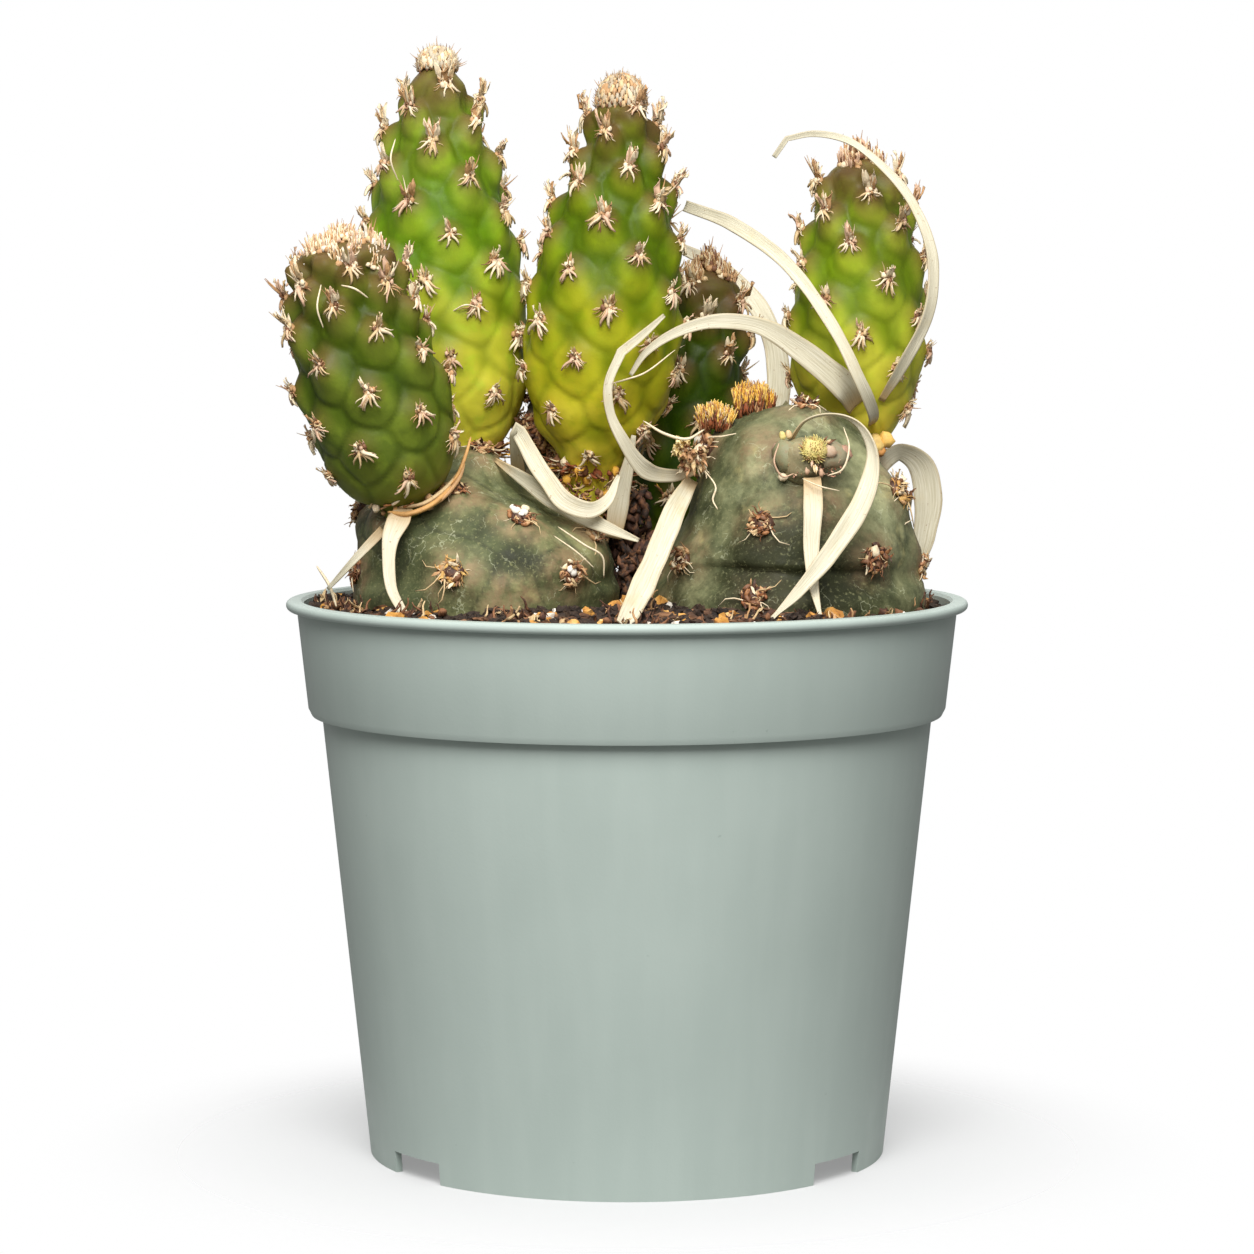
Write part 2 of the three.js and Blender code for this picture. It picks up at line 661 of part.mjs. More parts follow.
// A flat papery spine that follows its rows
class PaperySpine {
  constructor(rows) {
    this.rows = rows;
    this.curve = new THREE.CatmullRomCurve3(rows.map(([x, y, z]) => new THREE.Vector3(x, y, z)));
    const steps = (rows.length - 1) * PAPERY_STEPS_PER_ROW;
    this.stations = Array.from({ length: steps + 1 }, (_, step) => this.stationAt(step / steps));
  }

  stationAt(t) {
    const place = t * (this.rows.length - 1);
    const low = Math.min(Math.floor(place), this.rows.length - 2);
    const mix = place - low;
    const [width, degrees] = [3, 4].map((column) => (
      THREE.MathUtils.lerp(this.rows[low][column], this.rows[low + 1][column], mix)
    ));
    const turn = THREE.MathUtils.degToRad(degrees);
    const centre = this.curve.getPoint(t);
    const tangent = this.curve.getTangent(t);
    const across = new THREE.Vector3().crossVectors(tangent, new THREE.Vector3(0, 1, 0)).normalize();
    across.applyAxisAngle(tangent, turn);
    const face = new THREE.Vector3().crossVectors(tangent, across);
    return { centre, across, face, width };
  }

  distanceTo(point) {
    return Math.min(...this.stations.map(({ centre, width }) => centre.distanceTo(point) - width / 2));
  }

  geometry() {
    const points = [];
    this.stations.forEach(({ centre, across, face, width }) => {
      [[-1, -1], [1, -1], [1, 1], [-1, 1]].forEach(([side, front]) => {
        const corner = centre.clone().addScaledVector(across, (side * width) / 2);
        points.push(corner.addScaledVector(face, (front * PAPERY_THICKNESS) / 2));
      });
    });
    const triangles = [];
    for (let step = 0; step < this.stations.length - 1; step += 1) {
      const a = step * 4;
      const b = a + 4;
      // Both faces are split along the same diagonal, so that a turned blade never crosses itself
      triangles.push(a, a + 1, b + 1, a, b + 1, b);
      triangles.push(a + 1, a + 2, b + 2, a + 1, b + 2, b + 1);
      triangles.push(a + 2, a + 3, b + 2, b + 2, a + 3, b + 3);
      triangles.push(a + 3, a, b, a + 3, b, b + 3);
    }
    const end = points.length - 4;
    triangles.push(0, 2, 1, 0, 3, 2, end, end + 1, end + 2, end, end + 2, end + 3);
    return indexedGeometry(points, triangles);
  }
}

// The pot: a tapered wall, a wider band, a rolled rim, and a skirt below the floor
function potGeometry() {
  const p = POT;
  const rimFoot = p.height - p.rimDepth;
  const skirtInner = p.footRadius - p.wall;
  const profile = [
    [0, p.floorUnderside],
    [skirtInner + 0.3, p.floorUnderside],
    [skirtInner, 0],
    [p.footRadius, 0],
    [p.bodyTopRadius, p.bandFootHeight - 0.1],
    [p.bandFootRadius, p.bandFootHeight],
    [p.bandFootRadius + p.bandRound, p.bandFootHeight + 2 * p.bandRound],
    [p.bandTopRadius, rimFoot],
    [p.rimRadius - p.rimRound, rimFoot + p.rimRound / 2],
    [p.rimRadius, p.height - 2 * p.rimRound],
    [p.rimRadius - p.rimRound, p.height - 0.1],
    [p.rimInnerRadius, p.height],
    ...POT_INSIDE.toReversed(),
    [0, p.floorTop],
  ];
  let pot = solidFrom(lathe(profile, p.sides));
  FOOT_NOTCH.angles.forEach((angle) => {
    const turn = THREE.MathUtils.degToRad(angle);
    const notch = new THREE.BoxGeometry(12, FOOT_NOTCH.width, FOOT_NOTCH.height + 2);
    notch.translate(p.footRadius, 0, FOOT_NOTCH.height / 2 - 1);
    notch.rotateZ(turn);
    const hole = new THREE.CylinderGeometry(DRAIN_HOLE.radius, DRAIN_HOLE.radius, 8, DRAIN_HOLE.sides);
    hole.rotateX(Math.PI / 2);
    hole.translate(DRAIN_HOLE.distance, 0, p.floorTop);
    hole.rotateZ(turn);
    pot = pot.subtract(solidFrom(notch)).subtract(solidFrom(hole));
  });
  return geometryFrom(pot);
}

// Height of the soil's surface: slightly domed and lumpy
const noise = new ImprovedNoise();
function soilHeight(x, y) {
  const edge = POT.rimInnerRadius;
  const dome = SOIL.crown * (1 - (x * x + y * y) / (edge * edge));
  const lumps = noise.noise(x / SOIL.grain + 3.7, y / SOIL.grain + 8.3, 0.5);
  return SOIL.edgeHeight + dome + SOIL.roughness * lumps;
}

// The soil fills the pot, and the roots are taken out of it
function soilGeometry(roots) {
  const inside = POT_INSIDE.map(([radius, height]) => [radius - SOIL.wallGap, height]);
  const edgeRadius = inside.at(-1)[0];
  const profile = [
    [0, SOIL.bottom],
    [inside[0][0], SOIL.bottom],
    ...inside.slice(1, -1),
    [edgeRadius, SOIL.edgeHeight - SOIL.edgeDepth],
  ];
  for (let ring = SOIL.rings; ring >= 0; ring -= 1) {
    profile.push([(edgeRadius - 0.1) * (ring / SOIL.rings), SOIL.edgeHeight]);
  }
  const geometry = lathe(profile, SOIL.sides);
  const position = geometry.getAttribute('position');
  for (let i = 0; i < position.count; i += 1) {
    if (position.getZ(i) > SOIL.edgeHeight - SOIL.edgeDepth / 2) {
      position.setZ(i, soilHeight(position.getX(i), position.getY(i)));
    }
  }
  const block = solidFrom(geometry);
  return geometryFrom(roots.reduce((soil, root) => soil.subtract(solidFrom(root)), block));
}

// Assembly
const segments = Object.fromEntries(
  Object.entries(SEGMENTS).map(([name, spec]) => [name, new StemSegment(name, spec)]),
);
const paperySpines = Object.fromEntries(
  Object.entries(PAPERY_SPINES).map(([name, rows]) => [name, new PaperySpine(rows)]),
);

// A short spine has room where its whole length stays clear of its neighbours, the soil and the pot
function hasRoomBeside(name) {
  const things = [...Object.values(segments), ...Object.values(paperySpines)];
  const others = things.filter((thing) => thing !== segments[name]);
  return (rim, apex) => {
    const middle = rim.clone().lerp(apex, 0.5);
    const nearest = (thing) => Math.min(thing.distanceTo(apex), thing.distanceTo(middle));
    const aboveSoil = Math.min(apex.z, rim.z) > soilHeight(apex.x, apex.y) + SPINE_ROOM.aboveSoil;
    const inPot = Math.hypot(apex.x, apex.y) < POT.rimInnerRadius - SPINE_ROOM.fromRim;
    const abovePot = apex.z > POT.height + SPINE_ROOM.fromRim;
    return aboveSoil && (inPot || abovePot) && others.every((thing) => nearest(thing) > SPINE_ROOM.beside);
  };
}

function material(colour, roughness) {
  return new THREE.MeshStandardMaterial({ color: colour, roughness, metalness: 0 });
}

function addPiece(group, name, geometry, finish) {
  const mesh = new THREE.Mesh(geometry, finish);
  mesh.name = name;
  group.add(mesh);
}

const cactus = new THREE.Group();
addPiece(cactus, 'pot', potGeometry(), material(0xa9b8b2, 0.45));
const soilRoots = SEATS.soil.map((name) => segments[name].envelope(SOIL.rootGap));
addPiece(cactus, 'soil', soilGeometry(soilRoots), material(0x3a2a20, 0.95));

Object.entries(segments).forEach(([name, segment], index) => {
  let skin = solidFrom(spinySkin(segment, hasRoomBeside(name), seededRandom(101 + index)));
  (SEATS[name] ?? []).forEach((root) => {
    skin = skin.subtract(solidFrom(segments[root].envelope(FIT_GAP)));
  });
  addPiece(cactus, name, geometryFrom(skin), material(segment.spec.colour, 0.6));
});

Object.entries(paperySpines).forEach(([name, spine]) => {
  addPiece(cactus, name, spine.geometry(), material(PAPERY_COLOUR, 0.7));
});

export default cactus;
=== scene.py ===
# The looks of the potted cactus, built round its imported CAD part. The tables and the modelling are
# in millimetres, +Z up, with the front towards -Y. Each finished piece is scaled to metres.
import math
import random
from functools import cache

import bmesh
import bpy
import numpy as np
from mathutils import Euler, Matrix, Vector, noise


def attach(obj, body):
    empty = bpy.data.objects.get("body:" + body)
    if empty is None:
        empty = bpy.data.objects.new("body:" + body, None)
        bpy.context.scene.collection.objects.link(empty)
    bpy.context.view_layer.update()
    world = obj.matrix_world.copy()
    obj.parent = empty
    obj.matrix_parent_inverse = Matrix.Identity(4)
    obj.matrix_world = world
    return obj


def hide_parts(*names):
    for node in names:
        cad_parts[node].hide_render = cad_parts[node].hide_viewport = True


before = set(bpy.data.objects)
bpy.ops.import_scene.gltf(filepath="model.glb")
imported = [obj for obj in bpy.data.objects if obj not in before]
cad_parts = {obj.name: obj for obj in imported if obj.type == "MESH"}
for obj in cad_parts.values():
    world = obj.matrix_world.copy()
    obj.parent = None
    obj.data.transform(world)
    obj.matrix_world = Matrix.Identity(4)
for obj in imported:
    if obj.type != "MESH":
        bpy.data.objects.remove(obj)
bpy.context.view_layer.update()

MM = 0.001
BODY = "root"
GOLDEN_ANGLE = math.pi * (3 - math.sqrt(5))
UP = Vector((0, 0, 1))

# Where each run of random draws starts
SEEDS = {"grains": 40, "tufts": 7, "collars": 61, "litter": 62, "bud": 63, "mounds": 65}

# The camera, as fitted to the photograph
CAMERA = {"distance": 715.1, "height": 150.5, "pitch": 4.607, "lens": 116.6, "sensor": 36}

# Soft suns: how strong, how wide in degrees, how high and how far to the left of the camera
SUNS = {
    "front_sun": {"strength": 0.5, "spread": 40, "elevation": 35, "from_left": 1},
    "top_sun": {"strength": 1.4, "spread": 80, "elevation": 87, "from_left": 0},
    "back_sun": {"strength": 0.55, "spread": 60, "elevation": 30, "from_left": 180},
}
SOFTBOX = {"power": 4.3, "size": 0.36, "place": (-0.015, -0.42, 0.48), "aim": (0, 0, 0.13)}
AMBIENT = 0.27
# How much the floor covers the white round it, and between which distances it fades out, in metres
FLOOR = {"cover": 0.72, "even": 0.052, "radius": 0.108}

# The pot and the soil, with the same sizes as the CAD part. Inner_step is how far in and up the step
# of the wall lies inside, and floor_corner how far out, in and up the corner over the floor reaches.
POT = {
    "height": 98,
    "rim_radius": 60,
    "rim_depth": 1.7,
    "rim_inner_radius": 57.4,
    "rim_round": 0.5,
    "roll_angles": (-80, 91, 17),
    "band_top_radius": 58.1,
    "band_foot_radius": 55.6,
    "band_foot_height": 77.9,
    "band_round": 0.6,
    "step_slope": 0.1,
    "inner_step": (0.4, 2),
    "body_top_radius": 53.8,
    "foot_radius": 45.6,
    "wall": 1.2,
    "floor_underside": 4,
    "floor_top": 5.2,
    "floor_corner": (0.4, 0.9, 1.2),
    "skirt_draft": 0.3,
    "steps": 180,
}
FOOT_NOTCH = {"width": 13.2, "height": 3.8, "cutter_length": 12, "angles": (-142.5, -37.5, 37.5, 142.5)}
DRAIN_HOLE = {"radius": 3.5, "distance": 36, "cutter_length": 8, "sides": 32}
CUTTER_ROOM = 1
SOFT_EDGE = {"width": 0.25, "segments": 2, "from_angle": 35}
SOIL = {
    "bottom": 5.6,
    "foot_gap": 1.6,
    "radius": 56.2,
    "edge_height": 96.6,
    "crown": 1.6,
    "roughness": 1.1,
    "grain": 7,
    "pattern": (3.7, 8.3, 0.5),
    "rings": 56,
    "steps": 150,
}
# The crumbs of the soil's surface: their size, their height and the layer of noise they come from
SOIL_CRUMBS = [(1.9, 0.5, 4), (0.9, 0.25, 9)]
# What the soil is made of, in colours from its dark to its pale grains
SOIL_MATTER = {
    "peat": [(0.3, (26, 18, 12)), (0.55, (46, 32, 22)), (0.75, (74, 54, 38))],
    "bark": [(0.3, (52, 34, 22)), (0.5, (96, 64, 42)), (0.75, (158, 116, 80))],
    "clay": [(0.3, (150, 92, 36)), (0.55, (206, 150, 70)), (0.75, (222, 190, 132))],
    "perlite": [(0.3, (208, 194, 176)), (0.6, (228, 220, 208)), (0.8, (244, 240, 234))],
}
# The grains: how many, their least and greatest size, how flat they are and what they are made of
GRAINS = {
    "peat_crumbs": (1700, (0.8, 2.3), 0.75, "peat"),
    "bark_chips": (420, (0.9, 2.9), 0.45, "bark"),
    "clay_grit": (150, (0.9, 2.8), 0.85, "clay"),
    "perlite_grains": (110, (0.8, 2.1), 0.9, "perlite"),
}
# What all grains share: how many shapes, the size and depth of their knobs, the room to the wall, how
# far above the soil their middles are and how far from the old segments, both against their size, how
# far they tip over, and how long they are against their width
GRAIN = {
    "variants": 4,
    "knobs": (0.6, 0.8),
    "edge_room": 0.8,
    "above": (-0.3, 0.5),
    "clear": 0.6,
    "tip": (-0.5, 0.5),
    "stretch": (0.8, 1.4),
}

# Each segment has an axis from its root to its tip, an outline of (distance along it, radius) over
# the crests, and areoles in a spiral that crowd together at the tip, as in the CAD part. The stem
# called withered_stem is guessed, and only here. Groove is the depth between tubercles, and cap the
# share of the height above which the skin draws in under the wool at the tip, and how far. Colours
# run from the root to the tip. Browned is how brown the skin is round its younger areoles and at its
# tip, and lined how dark the painted shade is along the lines between its tubercles.
SEGMENTS = {
    "old_segment_left": {
        "level": True,
        "axis": [
            (-23.5, -9, 76), (-24.5, -9, 99), (-24, -9, 106),
            (-27.5, -7.5, 114), (-30, -5, 120), (-30, -4, 126),
        ],
        "outline": [
            (0, 0), (1, 8), (7, 16), (16, 21.5), (23, 23.2), (29, 22.7),
            (34, 21.4), (39, 17.8), (44.5, 11.8), (48.5, 7.5), (51.2, 0),
        ],
        "depth": 1.05, "bare": (24, 0.5), "tip_density": 1, "areoles": 24, "phase": 40,
        "chosen": [(-62, 112.5), (-104, 103.5), (-26, 109), (-52, 103), (178, 113), (194, 102.5)],
        "groove": 1.3, "kind": "old", "slot": "old_skin",
    },
    "old_segment_right": {
        "level": True,
        "axis": [(28, -9, 74), (28.2, -9, 100), (29.6, -9, 115), (27.6, -8, 133)],
        "outline": [
            (0, 0), (1, 8), (8, 17), (17, 22.3), (24, 24), (27, 23.4), (29.2, 21.9),
            (32, 22), (37, 20.8), (44, 18.2), (50, 15), (54.5, 12), (57.5, 7.5), (59.2, 0),
        ],
        "depth": 1.05, "bare": (26, 0.5), "tip_density": 1, "areoles": 26, "phase": 100,
        "chosen": [
            (-177, 124), (-109, 112.5), (-107, 100.5), (-54, 106.5), (-24, 117.5), (-8, 104.5),
            (-150, 106), (158, 127.5), (128, 130),
        ],
        "groove": 0.8, "kind": "old", "slot": "old_skin",
    },
    "segment_short_left": {
        "axis": [
            (-37.8, -20.4, 113), (-38.6, -21.2, 117.5), (-41.6, -22.4, 130),
            (-46, -24.4, 145), (-48.8, -25.8, 163),
        ],
        "outline": [
            (0, 0), (0.8, 3), (3.5, 5.2), (6, 8.4), (11, 10.8), (17, 12.2),
            (25, 12.7), (33, 12.2), (41, 10.7), (47, 8.9), (50.5, 6.3), (52.6, 0),
        ],
        "bare": (5, 0.5), "tip_density": 2.6, "areoles": 50, "phase": 10,
        "cap": (0.88, 2.2), "groove": 2.3, "kind": "young", "slot": "young_skin",
        "colours": [(120, 122, 40), (82, 98, 28), (104, 118, 34), (116, 116, 46)],
        "browned": 0.7, "lined": 0.35,
    },
    "segment_tall_left": {
        "axis": [
            (-29.4, 6, 118), (-31, 8.4, 134), (-32.9, 11, 155), (-33.6, 10.6, 175), (-33.6, 10.6, 195.9),
        ],
        "outline": [
            (0, 0), (0.8, 3.2), (3, 5), (6, 7.2), (11, 11), (17, 13.4), (27, 14.5), (37, 14.2),
            (45, 13.3), (52, 12), (59, 10.2), (65, 8.2), (70, 6.2), (74.5, 4.4), (77.2, 3), (78.2, 0),
        ],
        "bare": (5, 0.5), "tip_density": 1.6, "areoles": 58, "phase": 200,
        "cap": (0.86, 2.4), "groove": 1.5, "kind": "young", "slot": "young_skin",
        "colours": [(246, 234, 76), (166, 166, 44), (130, 158, 34), (146, 148, 62)],
        "browned": 0.75, "lined": 0.18,
    },
    "segment_tall_middle": {
        "axis": [
            (-8.4, 2.4, 110.2), (-6.4, 1, 120), (-5.4, -0.4, 133),
            (-3.4, -1.4, 154), (-1.2, -1, 175), (-0.9, -1, 190.6),
        ],
        "outline": [
            (0, 0), (0.8, 3), (4, 3.8), (10, 4.6), (14, 7), (19, 10.4), (26, 13), (34, 13.8),
            (43, 13.3), (51, 12.1), (58, 10.5), (65, 8.2), (70, 6.6), (74, 4.9), (77.6, 3.4), (80.8, 0),
        ],
        "bare": (12, 1), "tip_density": 1.6, "areoles": 58, "phase": 75,
        "cap": (0.88, 1.8), "groove": 1.5, "kind": "young", "slot": "young_skin",
        "colours": [(255, 240, 84), (194, 184, 38), (120, 138, 18), (106, 114, 26)],
        "browned": 0.75, "lined": 0.15,
    },
    "segment_rear": {
        "axis": [(6.4, 20, 93.5), (7.4, 20.4, 106), (10, 21.4, 124), (13.5, 22, 143), (15.2, 22, 158.2)],
        "outline": [
            (0, 0), (1, 3.4), (5, 4.6), (11, 5.6), (20, 7.4), (30, 9),
            (42, 9.2), (51, 8.3), (58, 6.6), (62.5, 4.6), (65.6, 0),
        ],
        "bare": (12, 1), "tip_density": 2, "areoles": 38, "phase": 20,
        "cap": (0.88, 1.2), "groove": 1.3, "kind": "young", "slot": "young_skin",
        "colours": [(92, 88, 22), (66, 84, 12), (74, 96, 14), (88, 92, 30)],
        "browned": 0.7, "lined": 0.3,
    },
    "segment_right": {
        "axis": [(39.6, 4, 121.2), (40.2, 5.2, 128), (40.6, 6, 140), (41.2, 6, 154), (41.4, 6, 178)],
        "outline": [
            (0, 0), (0.8, 3.2), (2.5, 4.6), (5, 6), (8.5, 8), (12.4, 10.2), (19.4, 11.9),
            (26.4, 12), (33.4, 11.5), (40.4, 10.3), (46.4, 8.6), (51.4, 6.4), (54.9, 4.2), (57, 0),
        ],
        "bare": (4, 1), "tip_density": 1.8, "areoles": 44, "phase": 145,
        "cap": (0.88, 1.8), "groove": 1.4, "kind": "young", "slot": "young_skin",
        "colours": [(218, 202, 68), (198, 190, 60), (148, 164, 40), (126, 122, 46)],
        "browned": 0.75, "lined": 0.2,
    },
    "withered_stem": {
        "axis": [
            (-13.5, 9.5, 104), (-14.4, 9.5, 112), (-15.6, 9.4, 122), (-16, 9.2, 128), (-15.6, 9.2, 134.4),
        ],
        "outline": [(0, 0), (1, 3), (7, 3.9), (14, 3.3), (20, 3.4), (25, 2.9), (28.6, 1.8), (30.6, 0)],
        "bare": (2, 1), "tip_density": 1.4, "areoles": 60, "phase": 0,
        "groove": 2.2, "kind": "old", "slot": "old_skin",
    },
    "bud_segment": {
        "axis": [(29.6, -22, 121.8), (30, -25, 123), (31.2, -29.6, 124.2)],
        "outline": [(0, 0), (0.6, 2.4), (3, 4.1), (5.6, 3.7), (7.6, 2.2), (8.3, 0)],
        "bare": (4, 1), "tip_density": 1.6, "areoles": 12, "phase": 0,
        "groove": 0.3, "kind": "bud", "slot": "bud_skin",
    },
}
AXIS_SAMPLES = 400
OUTLINE_SAMPLES = 241
LEAST_RADIUS = 0.05
# The shares of the height between which the areoles begin to crowd together, the room that a chosen
# areole keeps free of others, the neighbours from which an areole's own room is taken, and how far
# below its areole a tubercle's middle lies
TIP_CROWDING = (0.6, 0.95)
CHOSEN_ROOM = 0.62
NEIGHBOURS = 6
BELLY_DROP = 0.12
# The relief of each kind of skin: how broad a tubercle's round mound is against its room, how much
# of the groove is a thin line between mounds, how far the skin stands out at an areole and how deep
# the grooves are against the rest, each by the root and by the tip, the size of a full-grown
# tubercle, how far above its middle the areole sits, and how high the broad and the fine lumps are
RELIEF = {
    "young": {
        "breadth": 0.8, "line": 0.14, "chin": (0.5, 1.15), "deepening": (0.42, 1.25),
        "full_size": 3.5, "rise": 0.3, "lumps": (0.12, 0.05),
    },
    "old": {
        "breadth": 0.72, "line": 0.1, "chin": (0.6, 0.6), "deepening": (1, 1),
        "full_size": 5, "rise": 0, "lumps": (0.45, 0.1),
    },
    "bud": {
        "breadth": 0.8, "line": 0.1, "chin": (0.2, 0.2), "deepening": (1, 1),
        "full_size": 2, "rise": 0.3, "lumps": (0.45, 0.1),
    },
}
# The sum of the mounds at their foot and how much more there is at a top, the width of the lines, the
# width of the bulge under an areole, the sizes of the lumps, how far above the bare root the relief is
# full, and the shares of the height between which the skin changes from root to tip
MOUND = {"foot": 0.5, "height": 0.54}
LINE_WIDTH = 0.1
CHIN_BREADTH = 0.5
LUMP_SIZES = (5, 1.3)
BARE_FADE = 3
RIPENING = (0.3, 0.9)
NO_CAP = (0.9, 0)
CAP_END = 0.985
# The largest facets of each kind of skin, and the crease across the front of the right old segment
SKIN_STEP = {"young": 0.55, "old": 0.75, "bud": 0.35}
CREASE = {
    "segment": "old_segment_right",
    "height": 104.6,
    "waver": 0.5,
    "depth": 1.1,
    "width": 0.55,
    "turns": (-150, -30),
    "fade": 25,
}
# Darker places of the old skins, which are painted shade, and paler places: where, how broad, and
# from -1 for the darkest painted shade to 1 for pale
PAINTED_SHADE_AND_PALE = {
    "old_segment_left": [
        ((-24.8, -31, 107), 4.5, 0.3), ((-21.7, -20, 119.7), 6, 0.35), ((-18.1, -31, 101.6), 3, 0.5),
        ((-11.4, -26, 111.5), 4, 0.2), ((-18.6, -31, 107), 4, -1.0), ((-33, -26, 113.2), 5, 0.1),
        ((-29.9, -31, 100.6), 5, -0.6), ((-14.7, -30, 102.8), 3.5, -0.4), ((-6.3, -27, 101.4), 5, -0.4),
        ((-38.8, -22, 114), 7, -0.3), ((-35, -29, 105), 4.5, -0.1), ((-26.7, -26, 116.6), 4, -0.4),
    ],
    "old_segment_right": [
        ((19, -31, 109.3), 6, -0.6), ((25.8, -32, 106), 6, -0.9), ((19.9, -32, 100), 7, -0.9),
        ((37.7, -30, 99.9), 8, -0.7), ((31, -31, 100), 7, -0.8), ((30, -30, 112), 6, -0.6),
        ((43.2, -22, 116.4), 7, 0.6), ((39.9, -20, 123.2), 6, 0.4), ((33, -20, 129), 6, 0.5),
        ((22.6, -26, 121.7), 6, 0.35), ((14.1, -26, 116.6), 5, 0.2), ((46.7, -22, 108), 5, 0.3),
        ((10.5, -22, 101), 5, -0.5),
    ],
}
# Papery spines, from the root to the free tip: x, y, z, width and the turn away from the front
PAPERY_SPINES = {
    "left_front": [
        (-37.8, -26.4, 115.2, 3, 20), (-38.6, -28.2, 113.2, 4, 20), (-39.8, -30, 110.4, 3, 10),
        (-40.2, -31.4, 106.8, 2.2, 0), (-39.6, -33.2, 102, 1.8, 0), (-37.6, -36, 98.4, 1.4, 0),
    ],
    "left_thin": [(-41.6, -23.4, 111.4, 1.6, 0), (-46.4, -25, 106.4, 1.3, 0), (-51.2, -22, 101.2, 0.6, 0)],
    "middle_bent": [
        (-19, -7.4, 120.5, 2.2, 0), (-19.2, -11.4, 124.6, 2.2, 10), (-18.9, -14.6, 128.2, 2.6, 20),
        (-16.4, -18, 124, 3, 5), (-13.8, -20.4, 120, 3, 0), (-10.6, -23.2, 116.2, 3.2, 0),
        (-6.4, -24.2, 114.8, 3, 0), (-3.4, -22, 116.4, 1.9, 0), (-1.4, -19, 120.4, 0.7, 0),
    ],
    "middle_low": [
        (-22.8, -10.4, 122.8, 0.7, 20), (-18.4, -15, 120, 2.4, 20), (-13.2, -18.6, 116.8, 3.6, 10),
        (-8, -20.6, 113.8, 3, 10), (-2.6, -22.6, 111.4, 1.9, 0), (2, -24, 109.6, 0.7, 0),
    ],
    "middle_short": [
        (-2.5, -6.4, 109, 3, 0), (-1.4, -7.4, 115, 3.6, 0), (0, -8, 121, 2.2, 0), (1.2, -8.6, 127, 0.8, 0),
    ],
    "middle_curl": [
        (11.8, -11, 120.8, 1.2, 0), (7.8, -14, 120.2, 2.2, 0), (3.2, -18, 121.4, 3, 0),
        (-0.6, -20.5, 126.4, 2.1, 10), (-2.8, -21, 131, 1.6, 20), (-3.2, -21, 136, 1.5, 10),
        (-1, -19.8, 141.6, 1.7, 10), (2.8, -17.4, 144.6, 1.4, 10), (6.4, -14.2, 147.8, 0.7, 10),
    ],
    "front_straight": [
        (11.2, -13.7, 119.5, 2.4, 0), (8, -25, 114.4, 3.8, 0), (4.6, -35, 106.8, 4, 0),
        (1.6, -43.6, 101, 3.8, 0), (0.2, -48.4, 98.7, 3.2, 0),
    ],
    "right_hanging": [
        (31.2, -29, 120.5, 2.9, 0), (31.4, -31.8, 115.6, 3.3, 0), (31, -33.8, 109, 2.7, 0),
        (31.2, -36.4, 103.4, 1.8, 0), (32, -41, 98.8, 0.7, 0),
    ],
    "right_loop": [
        (27.8, -23.4, 126.6, 0.8, 40), (30.4, -26.6, 130.2, 0.8, 60), (35, -28.4, 131.2, 0.8, 60),
        (39, -30, 129.6, 1.3, 50), (41.2, -31.6, 125.4, 2.2, 40), (40.8, -33, 120.2, 3, 20),
        (37.8, -35.2, 113.8, 3.6, 0), (32.8, -38.6, 107, 3, 0), (28.6, -41, 102.2, 2, 0),
        (25, -43.6, 98.8, 0.8, 0),
    ],
    "right_arch": [
        (39.9, -4.1, 131.8, 3.4, 20), (37.6, -9.4, 135.4, 5, 20), (30, -13.4, 141.8, 4.1, 10),
        (22.8, -15.6, 146, 3, 0), (15, -16.6, 146.8, 2.4, 0), (8.2, -16.4, 144.8, 1.7, 0),
        (3.2, -16, 141.4, 1.2, 0), (0.6, -15.6, 137.6, 0.7, 0),
    ],
    "right_long": [
        (43, -1.7, 128.8, 1.3, 20), (42.8, -9, 130.8, 2.2, 20), (40.4, -13.4, 136.2, 2.1, 10),
        (36.8, -13.4, 143.6, 2, 0), (32.6, -10.4, 150.6, 2.1, 0), (26.8, -4, 157.8, 2.3, 0),
        (18.6, 5, 163.8, 2.5, 0), (10.4, 14, 167.2, 2, 0),
    ],
    "right_hook": [
        (44.5, -3.4, 132.9, 1.2, 10), (48.2, -9, 139.8, 2.1, 20), (52, -11, 147.8, 2.3, 30),
        (52.8, -10.4, 157.4, 2.1, 30), (49.6, -9, 166.8, 1.7, 20), (44, -7.4, 173.8, 1.4, 10),
        (38.4, -6, 178, 1.2, 10), (32.6, -5, 179.2, 1.1, 0), (27.8, -4.4, 178.4, 0.9, 0),
        (25.6, -4, 175.2, 0.8, 0),
    ],
    "rear_broad": [
        (25.5, 7.5, 120.4, 3.2, 0), (26.4, 14.6, 128, 4.2, 0), (27.4, 22, 137, 4.3, 10),
        (26.4, 28, 144, 4, 20), (22.6, 33, 151, 3.6, 20), (16.6, 35, 156.6, 3, 10), (9, 34.6, 160.4, 1.6, 0),
    ],
    "rear_right": [
        (43.6, 2.4, 119.4, 2.6, 10), (45.8, 6, 122, 3.2, 20), (49.2, 9.6, 123.4, 3.6, 30),
        (52.6, 11.4, 121, 4.8, 10), (54, 12, 115, 5, 0), (53.2, 12.4, 108, 4, 0), (51.8, 12.8, 101.6, 1.4, 0),
    ],
}
# A blade's thickness, the length and number of its facets, how far it curls across, and how uneven
# its edges and its face are
PAPERY = {
    "thickness": 0.25,
    "step": 0.7,
    "strips": 8,
    "curl": 0.07,
    "unevenness": 0.12,
    "waver": 0.18,
    "waver_length": 6,
}
# Points at which a blade is folded sharply
FOLDS = {"middle_bent": 2, "middle_curl": 6, "right_hook": 8}
# Blades whose free end runs into the soil or behind the rim, and how far
TUCKED = {"left_front": 2.5, "front_straight": 3.2, "right_hanging": 2.5, "right_loop": 2.5}

